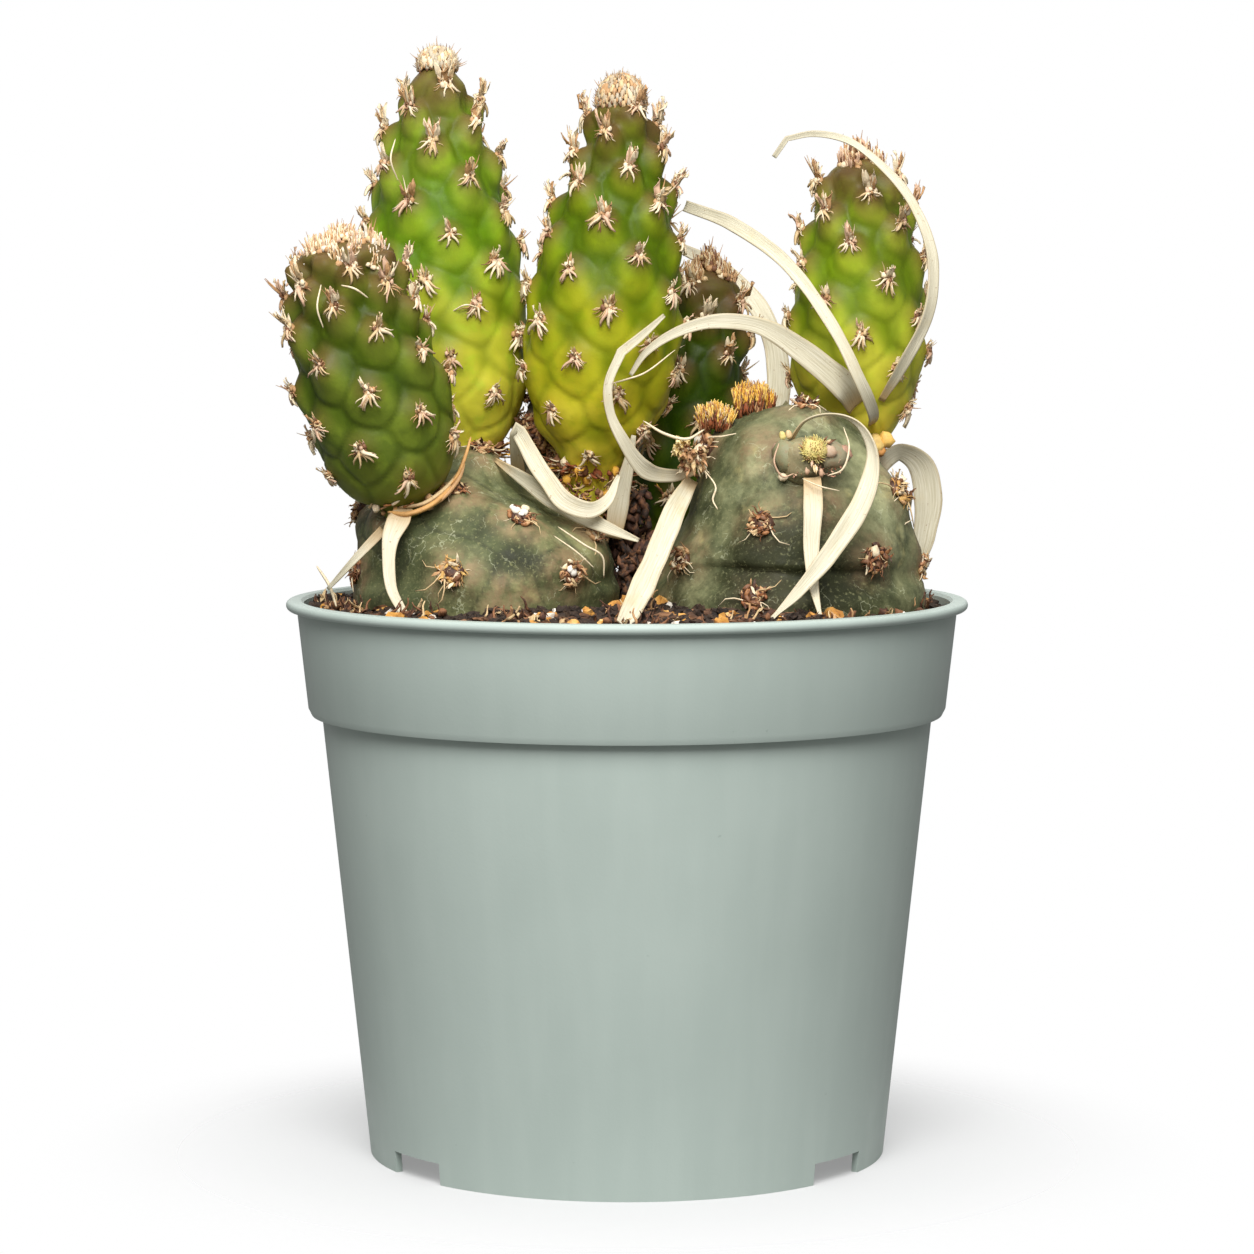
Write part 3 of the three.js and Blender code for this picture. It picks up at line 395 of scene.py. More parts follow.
# Colours of the dry parts, in display values
CREAM = (232, 214, 180)
STRAW = (208, 180, 134)
TAN = (188, 146, 100)
BROWN = (120, 80, 52)
DARK_BROWN = (70, 42, 28)
WHITE_WOOL = (226, 218, 200)
CAP_WOOL = (186, 174, 150)
OCHRE = (226, 172, 62)
GOLD = (244, 206, 108)
RUST = (142, 74, 38)
PINKISH = (212, 176, 146)
SOFT_YELLOW = (212, 196, 124)
AMBER = (206, 156, 92)

# The mixed colours of an old tuft
RUSTY = (BROWN, BROWN, (146, 92, 56), TAN, DARK_BROWN, (160, 108, 66), STRAW)
SANDY = (TAN, STRAW, BROWN, CREAM, TAN, (164, 116, 80))
GOLDEN = (TAN, STRAW, BROWN, (190, 142, 76), CREAM, (206, 164, 92))

# How near its tip the whole of a lump counts, for its browning
LUMP_TIP = 0.4
# The near-black browns of the mounds between the segments, which are painted shade
SHADE_FELT_COLOURS = ((48, 32, 22), (36, 24, 17), DARK_BROWN)
SCALE_COLOURS = {
    "lying": (STRAW, AMBER, TAN, CREAM, (166, 106, 56)),
    "standing": (BROWN, TAN, RUST, TAN, STRAW, BROWN, CREAM, OCHRE),
    "fallen": (BROWN, TAN, DARK_BROWN, DARK_BROWN, STRAW, BROWN),
}
# Each old skin's material, its dark, middle and pale shade, how dark the painted shade in its grooves
# and lines is, and how pink it is round its areoles
OLD_SKINS = {
    "old_segment_left": ("old_skin_left", [(60, 66, 40), (92, 98, 62), (130, 130, 88)], 0.6, 0.6),
    "old_segment_right": ("old_skin_right", [(50, 55, 34), (86, 90, 60), (124, 124, 88)], 0.0, 0.45),
    # The withered stem's near-black browns are partly its own colour and partly painted shade, for the dark
    # gap between the two tall young segments
    "withered_stem": ("withered_skin", [(30, 22, 14), (52, 38, 26), (84, 64, 46)], 0.7, 0.2),
    "bud_segment": ("bud_skin", [(104, 106, 76), (130, 128, 94), (154, 146, 112)], 0.0, 0.3),
}

# Tufts: how deep they sit in the skin, their sizes, the size of a young one in the closest room, the
# shares of the height between which the young ones turn upright, the share above which a woolly cap
# takes their place, and how near the soil or another segment an areole lies buried
TUFT_SINK = 0.15
TUFT_SIZES = (0.9, 1.15)
OLD_TUFT_SIZE = 1.1
LEAST_ROOM = 0.65
UPRIGHT = (0.4, 0.85)
CAPPED_FROM = 0.95
BURIED = {"above_soil": 0.6, "beside_segment": 0.8}
# How far below its segment's end a cap's top is, its core's size against it, how far round it goes (1
# is half a ball), the angle beyond which it is stained, and the share of its lobes with a spike
CAP = {"sink": 0.6, "core": 0.85, "wrap": 1.15, "stained_from": 1.3, "spikes": 0.08}
# Each cap's radius, height, colours and number of lobes
CAPS = {
    "segment_tall_left": (3.7, 3.4, (CAP_WOOL, CREAM, (186, 168, 138), STRAW), 120),
    "segment_tall_middle": (4.6, 5.2, (CAP_WOOL, (170, 154, 128), (186, 168, 138), STRAW, TAN), 170),
}
# How many woolly tufts crowd over the tip, the share of the height from which they do, their size
# and their colours
CROWDS = {
    "segment_short_left": (19, 0.88, 1.2, (CREAM, CREAM, WHITE_WOOL, STRAW, PINKISH, TAN)),
    "segment_rear": (9, 0.93, 1.25, (STRAW, TAN, CREAM, TAN, BROWN)),
    "segment_right": (8, 0.93, 1.15, (STRAW, CREAM, PINKISH, TAN, BROWN)),
}
# The two cushions that stand in place of chosen areoles: foot, radius, height, fanning out and the
# colours of their tops, and what all cushions share
CUSHIONS = {
    ("old_segment_right", 7): (
        (15.2, -10.5, 129.4), 2.1, 3.9, 0.4, (GOLD, GOLD, GOLD, CREAM, (250, 218, 130)),
    ),
    ("old_segment_right", 8): (
        (21.8, -7.5, 131.6), 3.0, 5.0, 0.15, (OCHRE, GOLD, (244, 200, 96)),
    ),
}
GLOCHIDS = {
    "clumps": 15,
    "in_clump": 44,
    "doming": 1.6,
    "cores": ((OCHRE, 0.6, 0.75), (RUST, 0.25, 1.0)),
    "tops": (OCHRE, TAN, RUST),
    "bases": (RUST, RUST, BROWN, TAN, DARK_BROWN),
}
# The old tufts on chosen areoles that stand out by size, colours or lumps of wool
OLD_TUFTS = {
    ("old_segment_left", 0): (1.2, RUSTY, 9),
    ("old_segment_left", 1): (1.25, GOLDEN, 0),
    ("old_segment_left", 2): (1.2, SANDY, 0),
    ("old_segment_left", 3): (1.2, SANDY, 2),
    ("old_segment_left", 4): (1.2, SANDY, 0),
    ("old_segment_left", 5): (1.2, RUSTY, 2),
    ("old_segment_right", 0): (1.9, SANDY, 2),
    ("old_segment_right", 3): (1.3, RUSTY, 3),
    ("old_segment_right", 4): (1.4, GOLDEN, 0),
    ("old_segment_right", 5): (1.2, SANDY, 2),
    ("old_segment_right", 6): (1.2, SANDY, 0),
}
# Places whose tuft has fallen off, and how near them an areole stays bare
FALLEN_TUFTS = [(22.6, -20, 125), (32.2, -28, 115.3), (-19.4, -31, 99.4)]
FALLEN_WITHIN = 4

# Thin threads that lie over the segments: width, colour and points
THREAD_STEPS = 24
THREADS = [
    (0.6, CREAM, [(2.8, -15, 129.7), (6.5, -19, 127.6), (10.3, -21, 126.8), (13.2, -19, 128.3)]),
    (0.35, CREAM, [(-3.6, -15.4, 135.9), (-0.3, -16.5, 136.8), (3.1, -16.4, 138), (8.3, -14.6, 141.9)]),
    (0.4, CREAM, [(-47.6, -36.4, 152.9), (-45.2, -38, 152.3), (-43.1, -36.6, 150.8)]),
    (0.35, CREAM, [(-51, -35.6, 153), (-51.5, -37.6, 149.1), (-50.6, -36.6, 145.8)]),
    (0.35, CREAM, [(-40.5, -0.6, 178.5), (-41.2, -2.4, 174.8), (-40, -1, 171.2)]),
    (0.35, CREAM, [(-30.6, -3.6, 148.4), (-28, -5.5, 149.6), (-25.5, -3.6, 148.9)]),
    (0.4, CREAM, [(-11.7, -27, 112.1), (-7.1, -30.5, 109.2), (-4.2, -30, 107.3), (-3.9, -29, 103.6)]),
    (0.3, CREAM, [(-12.4, -27.4, 110.6), (-8.4, -31, 108), (-5.6, -30.6, 105.4)]),
    (0.35, PINKISH, [(28.2, -29, 121.2), (26.2, -30.6, 120.8), (24.8, -31, 123.3), (25.6, -30.6, 126.4)]),
    (0.35, CREAM, [(36.6, -28.4, 129), (37.4, -31, 125.6), (36.2, -32, 122), (33.8, -31.6, 121)]),
    (0.3, CREAM, [(29.6, -30, 120.4), (32.5, -32, 119.2), (35.8, -31, 118.4)]),
    (0.35, CREAM, [(13.3, -21, 121.4), (15.1, -25, 118.6), (14.6, -25.4, 116.6), (15.4, -26, 115)]),
    (0.35, CREAM, [(41.4, -18, 112.8), (45.1, -20.4, 111.3), (49.1, -16.4, 112.7)]),
    (0.6, CREAM, [(-53.2, -20, 105), (-51, -20.4, 101.6), (-49.8, -20.8, 98)]),
    (1.0, AMBER, [(-40.6, -26.6, 114.6), (-37, -28.2, 114.4), (-33.2, -27, 115.8), (-29.6, -23, 119)]),
    (0.8, STRAW, [(-38.7, -26.4, 115.4), (-34.6, -26.8, 116), (-30.6, -23.4, 118.8), (-28.4, -20.6, 121.6)]),
    (0.8, TAN, [(-35.6, -28, 114.4), (-31.4, -25.4, 116.8), (-28.6, -22, 120.2), (-27.8, -20, 122.6)]),
    (0.7, AMBER, [(-31.6, -24.4, 117.6), (-29, -21.8, 120.6), (-27.6, -19.4, 124), (-26.8, -17.6, 127)]),
]

# Rings of dry scales and bristles round the foot of the young segments: distance along the segment,
# the ring's width against the segment's, the range of turns, how many, and whether they stand out or
# lie along the ring
COLLARS = [
    ("segment_short_left", 3.2, 1.1, (-150, 100), 46, "lying"),
    ("segment_tall_left", 2.5, 1.25, (-150, 60), 60, "standing"),
    ("segment_tall_left", 5.2, 1.05, (-150, 60), 60, "standing"),
    ("segment_tall_middle", 4, 1.7, (-180, 60), 60, "standing"),
    ("segment_tall_middle", 7.5, 1.5, (-180, 60), 90, "standing"),
    ("segment_tall_middle", 11, 1.15, (-180, 60), 90, "standing"),
    ("segment_rear", 22, 1.0, (-180, 180), 60, "standing"),
    ("segment_right", 2, 1.1, (-180, 180), 60, "lying"),
]

# Heaps of dry bristles and scales on the soil: x, y, how far they spread and how many
LITTER = [
    (-50, -17, 5, 34), (-54, -4, 4, 20), (-47, -26, 4, 20), (51, -12, 4.5, 46), (50, -20, 4, 40),
    (45, -30, 5, 26), (2, -32, 4, 18), (4, -14, 6, 30), (-4, 6, 8, 40), (24, 26, 10, 40),
    (-30, 28, 12, 40), (-8, 44, 8, 20), (46, 22, 6, 20), (-20, -46, 9, 40), (20, -48, 9, 40),
    (-36, -38, 6, 26), (2, -50, 8, 30), (38, -38, 6, 26),
]

# Dark mounds of felt between the segments, which stand as painted shade in the gaps: x, y, heights of
# the foot and the top, radius at the foot and how many lumps
MOUNDS = [
    (-2, 5, 97, 115, 5, 130),
    (1.5, -6, 97, 107, 4.5, 90),
    (2, -1.5, 97, 117, 3.6, 110),
    (13, 4, 97, 112, 4, 60),
]

# The bud's side shoots, its areole and the wool beside it, and the golden wool at the foot of the
# right segment: place, size, colour and half sizes against that size
BUD_LUMPS = [
    ((28.0, -26.2, 124.2), 3.0, (132, 130, 96), (1, 1.1, 0.7)),
    ((35.0, -27.6, 124.4), 2.5, (140, 132, 104), (1, 1, 0.7)),
    ((37.0, -27.4, 124.6), 1.3, (176, 136, 112), (1.2, 0.8, 0.8)),
    ((25.8, -25.2, 124.6), 1.5, (168, 132, 114), (1.2, 0.8, 0.8)),
    ((31.6, -29.2, 125.4), 1.9, SOFT_YELLOW, (1, 1.1, 0.7)),
    ((34.4, -29.2, 125.0), 1.2, (186, 160, 134), (1, 0.8, 0.8)),
    ((30.4, -28.8, 121.8), 0.7, PINKISH, (1.2, 0.6, 1)),
    ((32.8, -29, 121.4), 0.7, (196, 158, 128), (1.2, 0.6, 1)),
    ((26.4, -27.2, 120.6), 0.8, CREAM, (1, 1, 1)),
    ((26.4, -25.0, 127.5), 0.7, SOFT_YELLOW, (1.2, 0.8, 0.8)),
    ((27.5, -25.0, 127.7), 0.7, STRAW, (1.2, 0.8, 0.8)),
    ((43.8, -1.8, 125.4), 1.6, (238, 202, 120), (1.2, 0.7, 0.9)),
    ((45.6, -1.0, 126.0), 1.6, (236, 192, 100), (1, 0.8, 1.1)),
    ((44.6, -2.2, 124.4), 1.0, (214, 150, 80), (1.3, 0.7, 0.6)),
]
# Felt of the large tuft from which two papery spines come: middle, spread, how much and its colours
BUD_FELT = [
    ((9.4, -16.6, 125.2), 1.1, 28, ((230, 206, 146), (222, 196, 130), (236, 216, 164))),
    ((11.6, -17.2, 123.4), 1.9, 44, (TAN, BROWN, STRAW, CREAM, (192, 146, 104))),
]
BUD_WOOL = {
    "foot": (31.6, -30.4, 125.4),
    "radius": 1.9,
    "count": 150,
    "colours": (SOFT_YELLOW, SOFT_YELLOW, (190, 182, 112), (216, 204, 134), TAN),
}


def linear(colour):
    """A display colour of 0 to 255 as the linear colour that a shader takes."""
    return [((part / 255 + 0.055) / 1.055) ** 2.4 if part > 10 else part / 255 / 12.92 for part in colour]


# Materials
# The sockets of a Mix node that take its share and its colours, and the one that gives the result
MIX_SHARE, MIX_UNDER, MIX_OVER, MIX_RESULT = 0, 6, 7, 2


class Finish:
    """A material's node tree, with short calls for its nodes."""

    def __init__(self, name, **settings):
        self.material = bpy.data.materials.new(name)
        self.material.use_nodes = True
        self.tree = self.material.node_tree
        self.shader = self.tree.nodes["Principled BSDF"]
        for key, value in settings.items():
            self.shader.inputs[key.replace("_", " ")].default_value = value

    def add(self, kind, inputs, **settings):
        """A node whose inputs are given as numbers or as the output that feeds them."""
        node = self.tree.nodes.new(kind)
        for key, value in settings.items():
            setattr(node, key, value)
        for key, value in inputs.items():
            if isinstance(value, bpy.types.NodeSocket):
                self.tree.links.new(value, node.inputs[key])
            else:
                node.inputs[key].default_value = value
        return node

    def place(self, stretch=(1, 1, 1)):
        """The piece's own coordinates, in metres, stretched along each axis."""
        coordinates = self.add("ShaderNodeTexCoord", {})
        mapping = self.add("ShaderNodeMapping", {"Vector": coordinates.outputs["Object"], "Scale": stretch})
        return mapping.outputs["Vector"]

    def noise(self, size, detail, roughness=0.5, stretch=(1, 1, 1)):
        """Cloudy values from 0 to 1 with features of this size in millimetres."""
        values = {"Vector": self.place(stretch), "Scale": 1 / (size * MM), "Detail": detail}
        return self.add("ShaderNodeTexNoise", {**values, "Roughness": roughness}).outputs["Fac"]

    def attribute(self, name, output="Fac"):
        """What the piece's mesh has stored under this name."""
        return self.add("ShaderNodeAttribute", {}, attribute_name=name).outputs[output]

    def between(self, value, low, high, start, end):
        """The value brought smoothly from the range low to high to the range start to end."""
        values = {"Value": value, "From Min": low, "From Max": high, "To Min": start, "To Max": end}
        return self.add("ShaderNodeMapRange", values, interpolation_type="SMOOTHSTEP").outputs["Result"]

    def math(self, operation, a, b):
        """The result of this operation on two values."""
        return self.add("ShaderNodeMath", {0: a, 1: b}, operation=operation).outputs["Value"]

    def ramp(self, value, stops):
        """The colour at this value between the (place, colour) stops."""
        node = self.add("ShaderNodeValToRGB", {"Fac": value})
        elements = node.color_ramp.elements
        while len(elements) < len(stops):
            elements.new(0.5)
        for element, (place, colour) in zip(elements, stops):
            element.position = place
            element.color = (*linear(colour), 1)
        return node.outputs["Color"]

    def lines(self, size, detail, width, share):
        """Thin wandering lines: this share on a line and 0 beside it."""
        gap = self.math("ABSOLUTE", self.math("SUBTRACT", self.noise(size, detail), 0.5), 0.0)
        return self.between(gap, 0.0, width, share, 0.0)

    def mix(self, share, under, over, blend="MIX"):
        """A colour with this share of another one over it."""
        inputs = {MIX_SHARE: share}
        for key, colour in ((MIX_UNDER, under), (MIX_OVER, over)):
            inputs[key] = colour if isinstance(colour, bpy.types.NodeSocket) else (*linear(colour), 1)
        return self.add("ShaderNodeMix", inputs, data_type="RGBA", blend_type=blend).outputs[MIX_RESULT]

    def patches(self, under, over, size, detail, edge, share, **noise):
        """A colour with cloudy patches of another one over it. They begin to show where the clouds
        reach the first value of the edge, and are full, with this share, at the second."""
        return self.mix(self.between(self.noise(size, detail, **noise), *edge, 0.0, share), under, over)

    def drive(self, name, socket):
        """Lets a pattern set one of the shader's inputs."""
        self.tree.links.new(socket, self.shader.inputs[name])

    def clouded_roughness(self, size, low, high, detail=4):
        """Roughness that drifts between two values in clouds of this size."""
        self.drive("Roughness", self.between(self.noise(size, detail), 0.3, 0.7, low, high))

    def bump(self, height, distance, strength):
        """Relief finer than the mesh: height from 0 to 1 stands for this many millimetres."""
        values = {"Height": height, "Distance": distance * MM, "Strength": strength}
        self.drive("Normal", self.add("ShaderNodeBump", values).outputs["Normal"])


def pot_plastic():
    """Grey-green moulded plastic: satin, faintly clouded, with a fine grain, small pits and painted shade
    that deepens towards the foot.
    """
    finish = Finish("pot_plastic", Specular_IOR_Level=0.25)
    clouds = finish.ramp(finish.noise(size=26, detail=4), [(0.3, (168, 180, 172)), (0.7, (175, 187, 179))])
    height = finish.add("ShaderNodeSeparateXYZ", {"Vector": finish.place()}).outputs["Z"]
    # Painted shade: the plastic darkens from the band down to the foot, and the band gets a little of it too
    foot = finish.between(height, 0.0, POT["band_foot_height"] * MM, 0.5, 0.22)
    foot_shaded = finish.mix(foot, clouds, (146, 158, 152))
    streaked = finish.patches(
        foot_shaded, (182, 193, 185), size=5, detail=3, edge=(0.35, 0.75), share=0.16, stretch=(1, 1, 0.08)
    )
    specked = finish.patches(streaked, (124, 136, 130), size=1.4, detail=2, edge=(0.76, 0.82), share=0.35)
    finish.drive("Base Color", specked)
    finish.clouded_roughness(9, 0.4, 0.52)
    finish.bump(finish.noise(size=0.5, detail=2), 0.03, 0.5)
    return finish.material


def young_skin(name, colours, browned, lined):
    """Satin green skin that changes colour from root to tip, with painted shade in the grooves and along the
    lines between tubercles, brown round the younger areoles."""
    finish = Finish(name, Specular_IOR_Level=0.14, Subsurface_Weight=0.18, Subsurface_Scale=0.0018)
    finish.shader.inputs["Subsurface Radius"].default_value = (0.8, 1.0, 0.3)
    light = [min(255, part * 1.2) for part in colours[2]]
    dark = [part * 0.72 for part in colours[2]]
    height = finish.attribute("height")
    waver = finish.math("ADD", height, finish.between(finish.noise(size=9, detail=2), 0.2, 0.8, -0.08, 0.08))
    body = finish.ramp(waver, list(zip((0.04, 0.26, 0.58, 0.94), colours)))
    clouded = finish.patches(body, light, size=3.2, detail=4, edge=(0.48, 0.7), share=0.35)
    patched = finish.patches(clouded, dark, size=5.5, detail=3, edge=(0.5, 0.72), share=0.3)
    # Painted shade: the skin is darkened in the grooves, away from the middles of the mounds
    deep = finish.between(finish.attribute("mound"), 0.0, 0.7, 0.85, 0.0)
    groove_shaded = finish.mix(deep, patched, (150, 176, 60), "MULTIPLY")
    # Painted shade along the thin lines between tubercles, as dark as lined says
    line = finish.between(finish.attribute("edge"), 0.0, 0.2, lined, 0.0)
    line_shaded = finish.mix(line, groove_shaded, (110, 132, 40), "MULTIPLY")
    near = finish.between(finish.attribute("areole"), 0.9, 4.2, 1.0, 0.0)
    younger = finish.between(height, 0.15, 0.9, 0.3 * browned, browned)
    browned_skin = finish.mix(finish.math("MULTIPLY", near, younger), line_shaded, (96, 62, 40))
    crown = finish.between(waver, 0.77, 0.93, 0.0, browned)
    finish.drive("Base Color", finish.mix(crown, browned_skin, (84, 62, 34)))
    finish.clouded_roughness(4, 0.4, 0.56, detail=3)
    finish.bump(finish.noise(size=0.6, detail=3), 0.06, 0.6)
    return finish.material


def old_skin(name, shades, groove, pink):
    """Matt grey-green skin with pale scratches and flecks, pinkish brown zones round the areoles,
    yellowish scars, painted shade in its grooves, lines and darker places, and paler places."""
    finish = Finish(name, Specular_IOR_Level=0.22)
    dark, middle, pale = shades
    clouds = finish.noise(size=9, detail=5, roughness=0.65)
    base = finish.ramp(clouds, [(0.34, dark), (0.5, middle), (0.66, pale)])
    near = finish.between(finish.attribute("areole"), 2.4, 8, 1.0, 0.0)
    blotch = finish.between(finish.noise(size=3.5, detail=4, roughness=0.6), 0.36, 0.6, 0.1, pink)
    zoned = finish.mix(finish.math("MULTIPLY", near, blotch), base, (160, 128, 98))
    scarred = finish.patches(
        zoned, (170, 160, 108), size=7.5, detail=4, edge=(0.58, 0.7), share=0.5, roughness=0.6
    )
    darkened = finish.patches(scarred, dark, size=5, detail=4, edge=(0.56, 0.72), share=0.5, roughness=0.6)
    # Painted shade in the grooves between the mounds, as dark as groove says
    furrow = finish.between(finish.attribute("mound"), 0.0, 0.8, groove, 0.0)
    furrow_shaded = finish.mix(furrow, darkened, (66, 72, 46))
    # Painted shade along the thin lines between the mounds
    line = finish.between(finish.attribute("edge"), 0.0, 0.1, groove, 0.0)
    lined = finish.mix(line, furrow_shaded, (50, 52, 36))
    # Painted shade in the darker places and paleness in the paler ones, both wavering in clouds
    waver = finish.between(finish.noise(size=3, detail=5, roughness=0.65), 0.25, 0.75, -0.35, 0.35)
    shade_and_pale = finish.math("ADD", finish.attribute("shade_and_pale"), waver)
    paled = finish.mix(finish.between(shade_and_pale, 0.0, 1.2, 0.0, 0.6), lined, (190, 192, 146))
    shaded = finish.mix(finish.between(shade_and_pale, -1.1, 0.1, 0.88, 0.0), paled, (36, 38, 18))
    flecked = finish.patches(shaded, pale, size=0.6, detail=4, edge=(0.54, 0.68), share=0.6, roughness=0.65)
    where = finish.between(finish.noise(size=6, detail=2), 0.5, 0.62, 0.0, 1.0)
    scratch = finish.math("MULTIPLY", finish.lines(size=4.2, detail=4, width=0.012, share=0.45), where)
    finish.drive("Base Color", finish.mix(scratch, flecked, (190, 192, 158)))
    finish.clouded_roughness(3, 0.52, 0.74, detail=3)
    finish.bump(finish.noise(size=0.9, detail=5, roughness=0.65), 0.16, 0.8)
    return finish.material


def dry_matter(name, roughness, browning):
    """Dry bristles, scales and wool: each has a shade of its own, darkened at its root by painted shade,
    and browner at its tip."""
    finish = Finish(name, Roughness=roughness)
    tip = finish.attribute("tip")
    # Painted shade at the root, where the middle of a tuft lies in shadow
    root_shaded = finish.mix(finish.between(tip, 0.0, 0.22, 0.4, 0.0), finish.attribute("shade", "Color"), BROWN)
    tipped = finish.mix(finish.between(tip, 0.7, 1.0, 0.0, 0.7), root_shaded, BROWN)
    blotched = finish.patches(tipped, (150, 100, 62), size=0.9, detail=3, edge=(0.45, 0.68), share=browning)
    finish.drive("Base Color", blotched)
    finish.bump(finish.noise(size=0.3, detail=3), 0.08, 0.7)
    return finish.material


def papery_blade():
    """Cream dry paper with fine lengthwise veins, browner edges and scattered brown specks."""
    finish = Finish("papery_blade", Roughness=0.55)
    across = finish.attribute("across")
    along = finish.attribute("along")
    place = finish.add("ShaderNodeCombineXYZ", {"X": finish.math("MULTIPLY", across, 7.0), "Y": along})
    grain = {"Vector": place.outputs["Vector"], "Scale": 1.2, "Detail": 3, "Roughness": 0.6}
    veins = finish.add("ShaderNodeTexNoise", grain).outputs["Fac"]
    paper = finish.ramp(veins, [(0.32, (186, 176, 146)), (0.5, (206, 198, 172)), (0.7, (220, 213, 192))])
    edge = finish.between(finish.math("ABSOLUTE", across, 0.0), 0.78, 1.0, 0.0, 0.45)
    edged = finish.mix(edge, paper, (186, 162, 118))
    specked = finish.patches(
        edged, (140, 100, 62), size=0.9, detail=3, edge=(0.64, 0.72), share=0.6, roughness=0.7
    )
    stained = finish.patches(specked, (200, 182, 136), size=6, detail=3, edge=(0.54, 0.75), share=0.4)
    root = finish.between(along, 0.0, 0.7, 0.75, 0.0)
    finish.drive("Base Color", finish.mix(root, stained, (188, 152, 98)))
    finish.bump(veins, 0.12, 0.8)
    return finish.material


def granules(name, stops):
    """Crumbly soil matter whose colour changes from grain to grain, with dust on it."""
    finish = Finish(name, Roughness=0.9)
    shade = finish.ramp(finish.noise(size=3.4, detail=2, roughness=0.6), stops)
    dusty = finish.patches(shade, (120, 92, 66), size=0.5, detail=3, edge=(0.5, 0.75), share=0.3)
    finish.drive("Base Color", dusty)
    finish.bump(finish.noise(size=0.4, detail=3, roughness=0.6), 0.15, 0.8)
    return finish.material


def floor_white():
    """A thin white floor that fades into the white round it."""
    finish = Finish("floor_white", Roughness=0.7, Specular_IOR_Level=0.0)
    white = finish.ramp(finish.noise(size=400, detail=1), [(0.0, (200, 200, 200)), (1.0, (204, 204, 204))])
    finish.drive("Base Color", white)
    reach = finish.add("ShaderNodeVectorMath", {0: finish.place()}, operation="LENGTH").outputs["Value"]
    fade = finish.between(reach, FLOOR["even"], FLOOR["radius"], FLOOR["cover"], 0.0)
    finish.drive("Alpha", fade)
    return finish.material


# Pieces
def as_mesh(bm, name):
    """The bmesh as a mesh. The bmesh itself is used up."""
    mesh = bpy.data.meshes.new(name)
    bm.to_mesh(mesh)
    bm.free()
    return mesh


def linked(name, data):
    """A new object in the scene with this mesh, light or camera."""
    thing = bpy.data.objects.new(name, data)
    bpy.context.scene.collection.objects.link(thing)
    return thing


def finished(bm, name, material, nodes=(), smooth=True):
    """The bmesh, in millimetres, as a piece that rides on the part in place of its CAD nodes."""
    bmesh.ops.scale(bm, vec=(MM, MM, MM), verts=bm.verts)
    mesh = as_mesh(bm, name)
    mesh.materials.append(material)
    if smooth:
        mesh.shade_smooth()
    piece = linked(name, mesh)
    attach(piece, BODY)
    if nodes:
        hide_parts(*nodes)
    return piece


def give(mesh, name, values):
    """Stores one number for each vertex under this name."""
    mesh.attributes.new(name, "FLOAT", "POINT").data.foreach_set("value", np.asarray(values, np.float32))


def lumpy(bm, size, depth, seed):
    """Pushes the vertices in and out by cloudy noise."""
    shift = Vector((seed * 3.1, seed * 1.7, seed * 2.3))
    for vert in bm.verts:
        vert.co *= 1 + depth * noise.noise(vert.co / size + shift)


def knobbly_ball(seed, size, depth):
    """A round lump of radius 1 with knobs of this size and depth."""
    bm = bmesh.new()
    bmesh.ops.create_icosphere(bm, subdivisions=2, radius=1)
    lumpy(bm, size, depth, seed)
    return bm


def gathered(shapes_and_places):
    """One bmesh that holds a copy of each shape at its place."""
    bm = bmesh.new()
    for shape, place in shapes_and_places:
        copy = shape.copy()
        copy.transform(place)
        bm.from_mesh(copy)
        bpy.data.meshes.remove(copy)
    return bm


# Curves and segments
def smooth_curve(points, count):
    """Points in even steps on the centripetal Catmull-Rom curve through the given ones."""
    points = np.array(points, float)
    padded = np.vstack([2 * points[0] - points[1], points, 2 * points[-1] - points[-2]])
    place = np.linspace(0, len(points) - 1, count)
    low = np.minimum(place.astype(int), len(points) - 2)
    mix = (place - low)[:, None]
    a, b, c, d = (padded[low + k] for k in range(4))
    ab, bc, cd = (np.sqrt(np.linalg.norm(q - p, axis=1, keepdims=True)) for p, q in ((a, b), (b, c), (c, d)))
    start = ((b - a) / ab - (c - a) / (ab + bc) + (c - b) / bc) * bc
    end = ((c - b) / bc - (d - b) / (bc + cd) + (d - c) / cd) * bc
    return b + start * mix + (3 * (c - b) - 2 * start - end) * mix**2 + (2 * (b - c) + start + end) * mix**3


def unit(vectors):
    """The vectors brought to length 1."""
    return vectors / np.linalg.norm(vectors, axis=-1, keepdims=True)


def eased(value, low, high):
    """0 below low and 1 above high, with a smooth rise between them."""
    mix = np.clip((value - low) / (high - low), 0, 1)
    return mix * mix * (3 - 2 * mix)


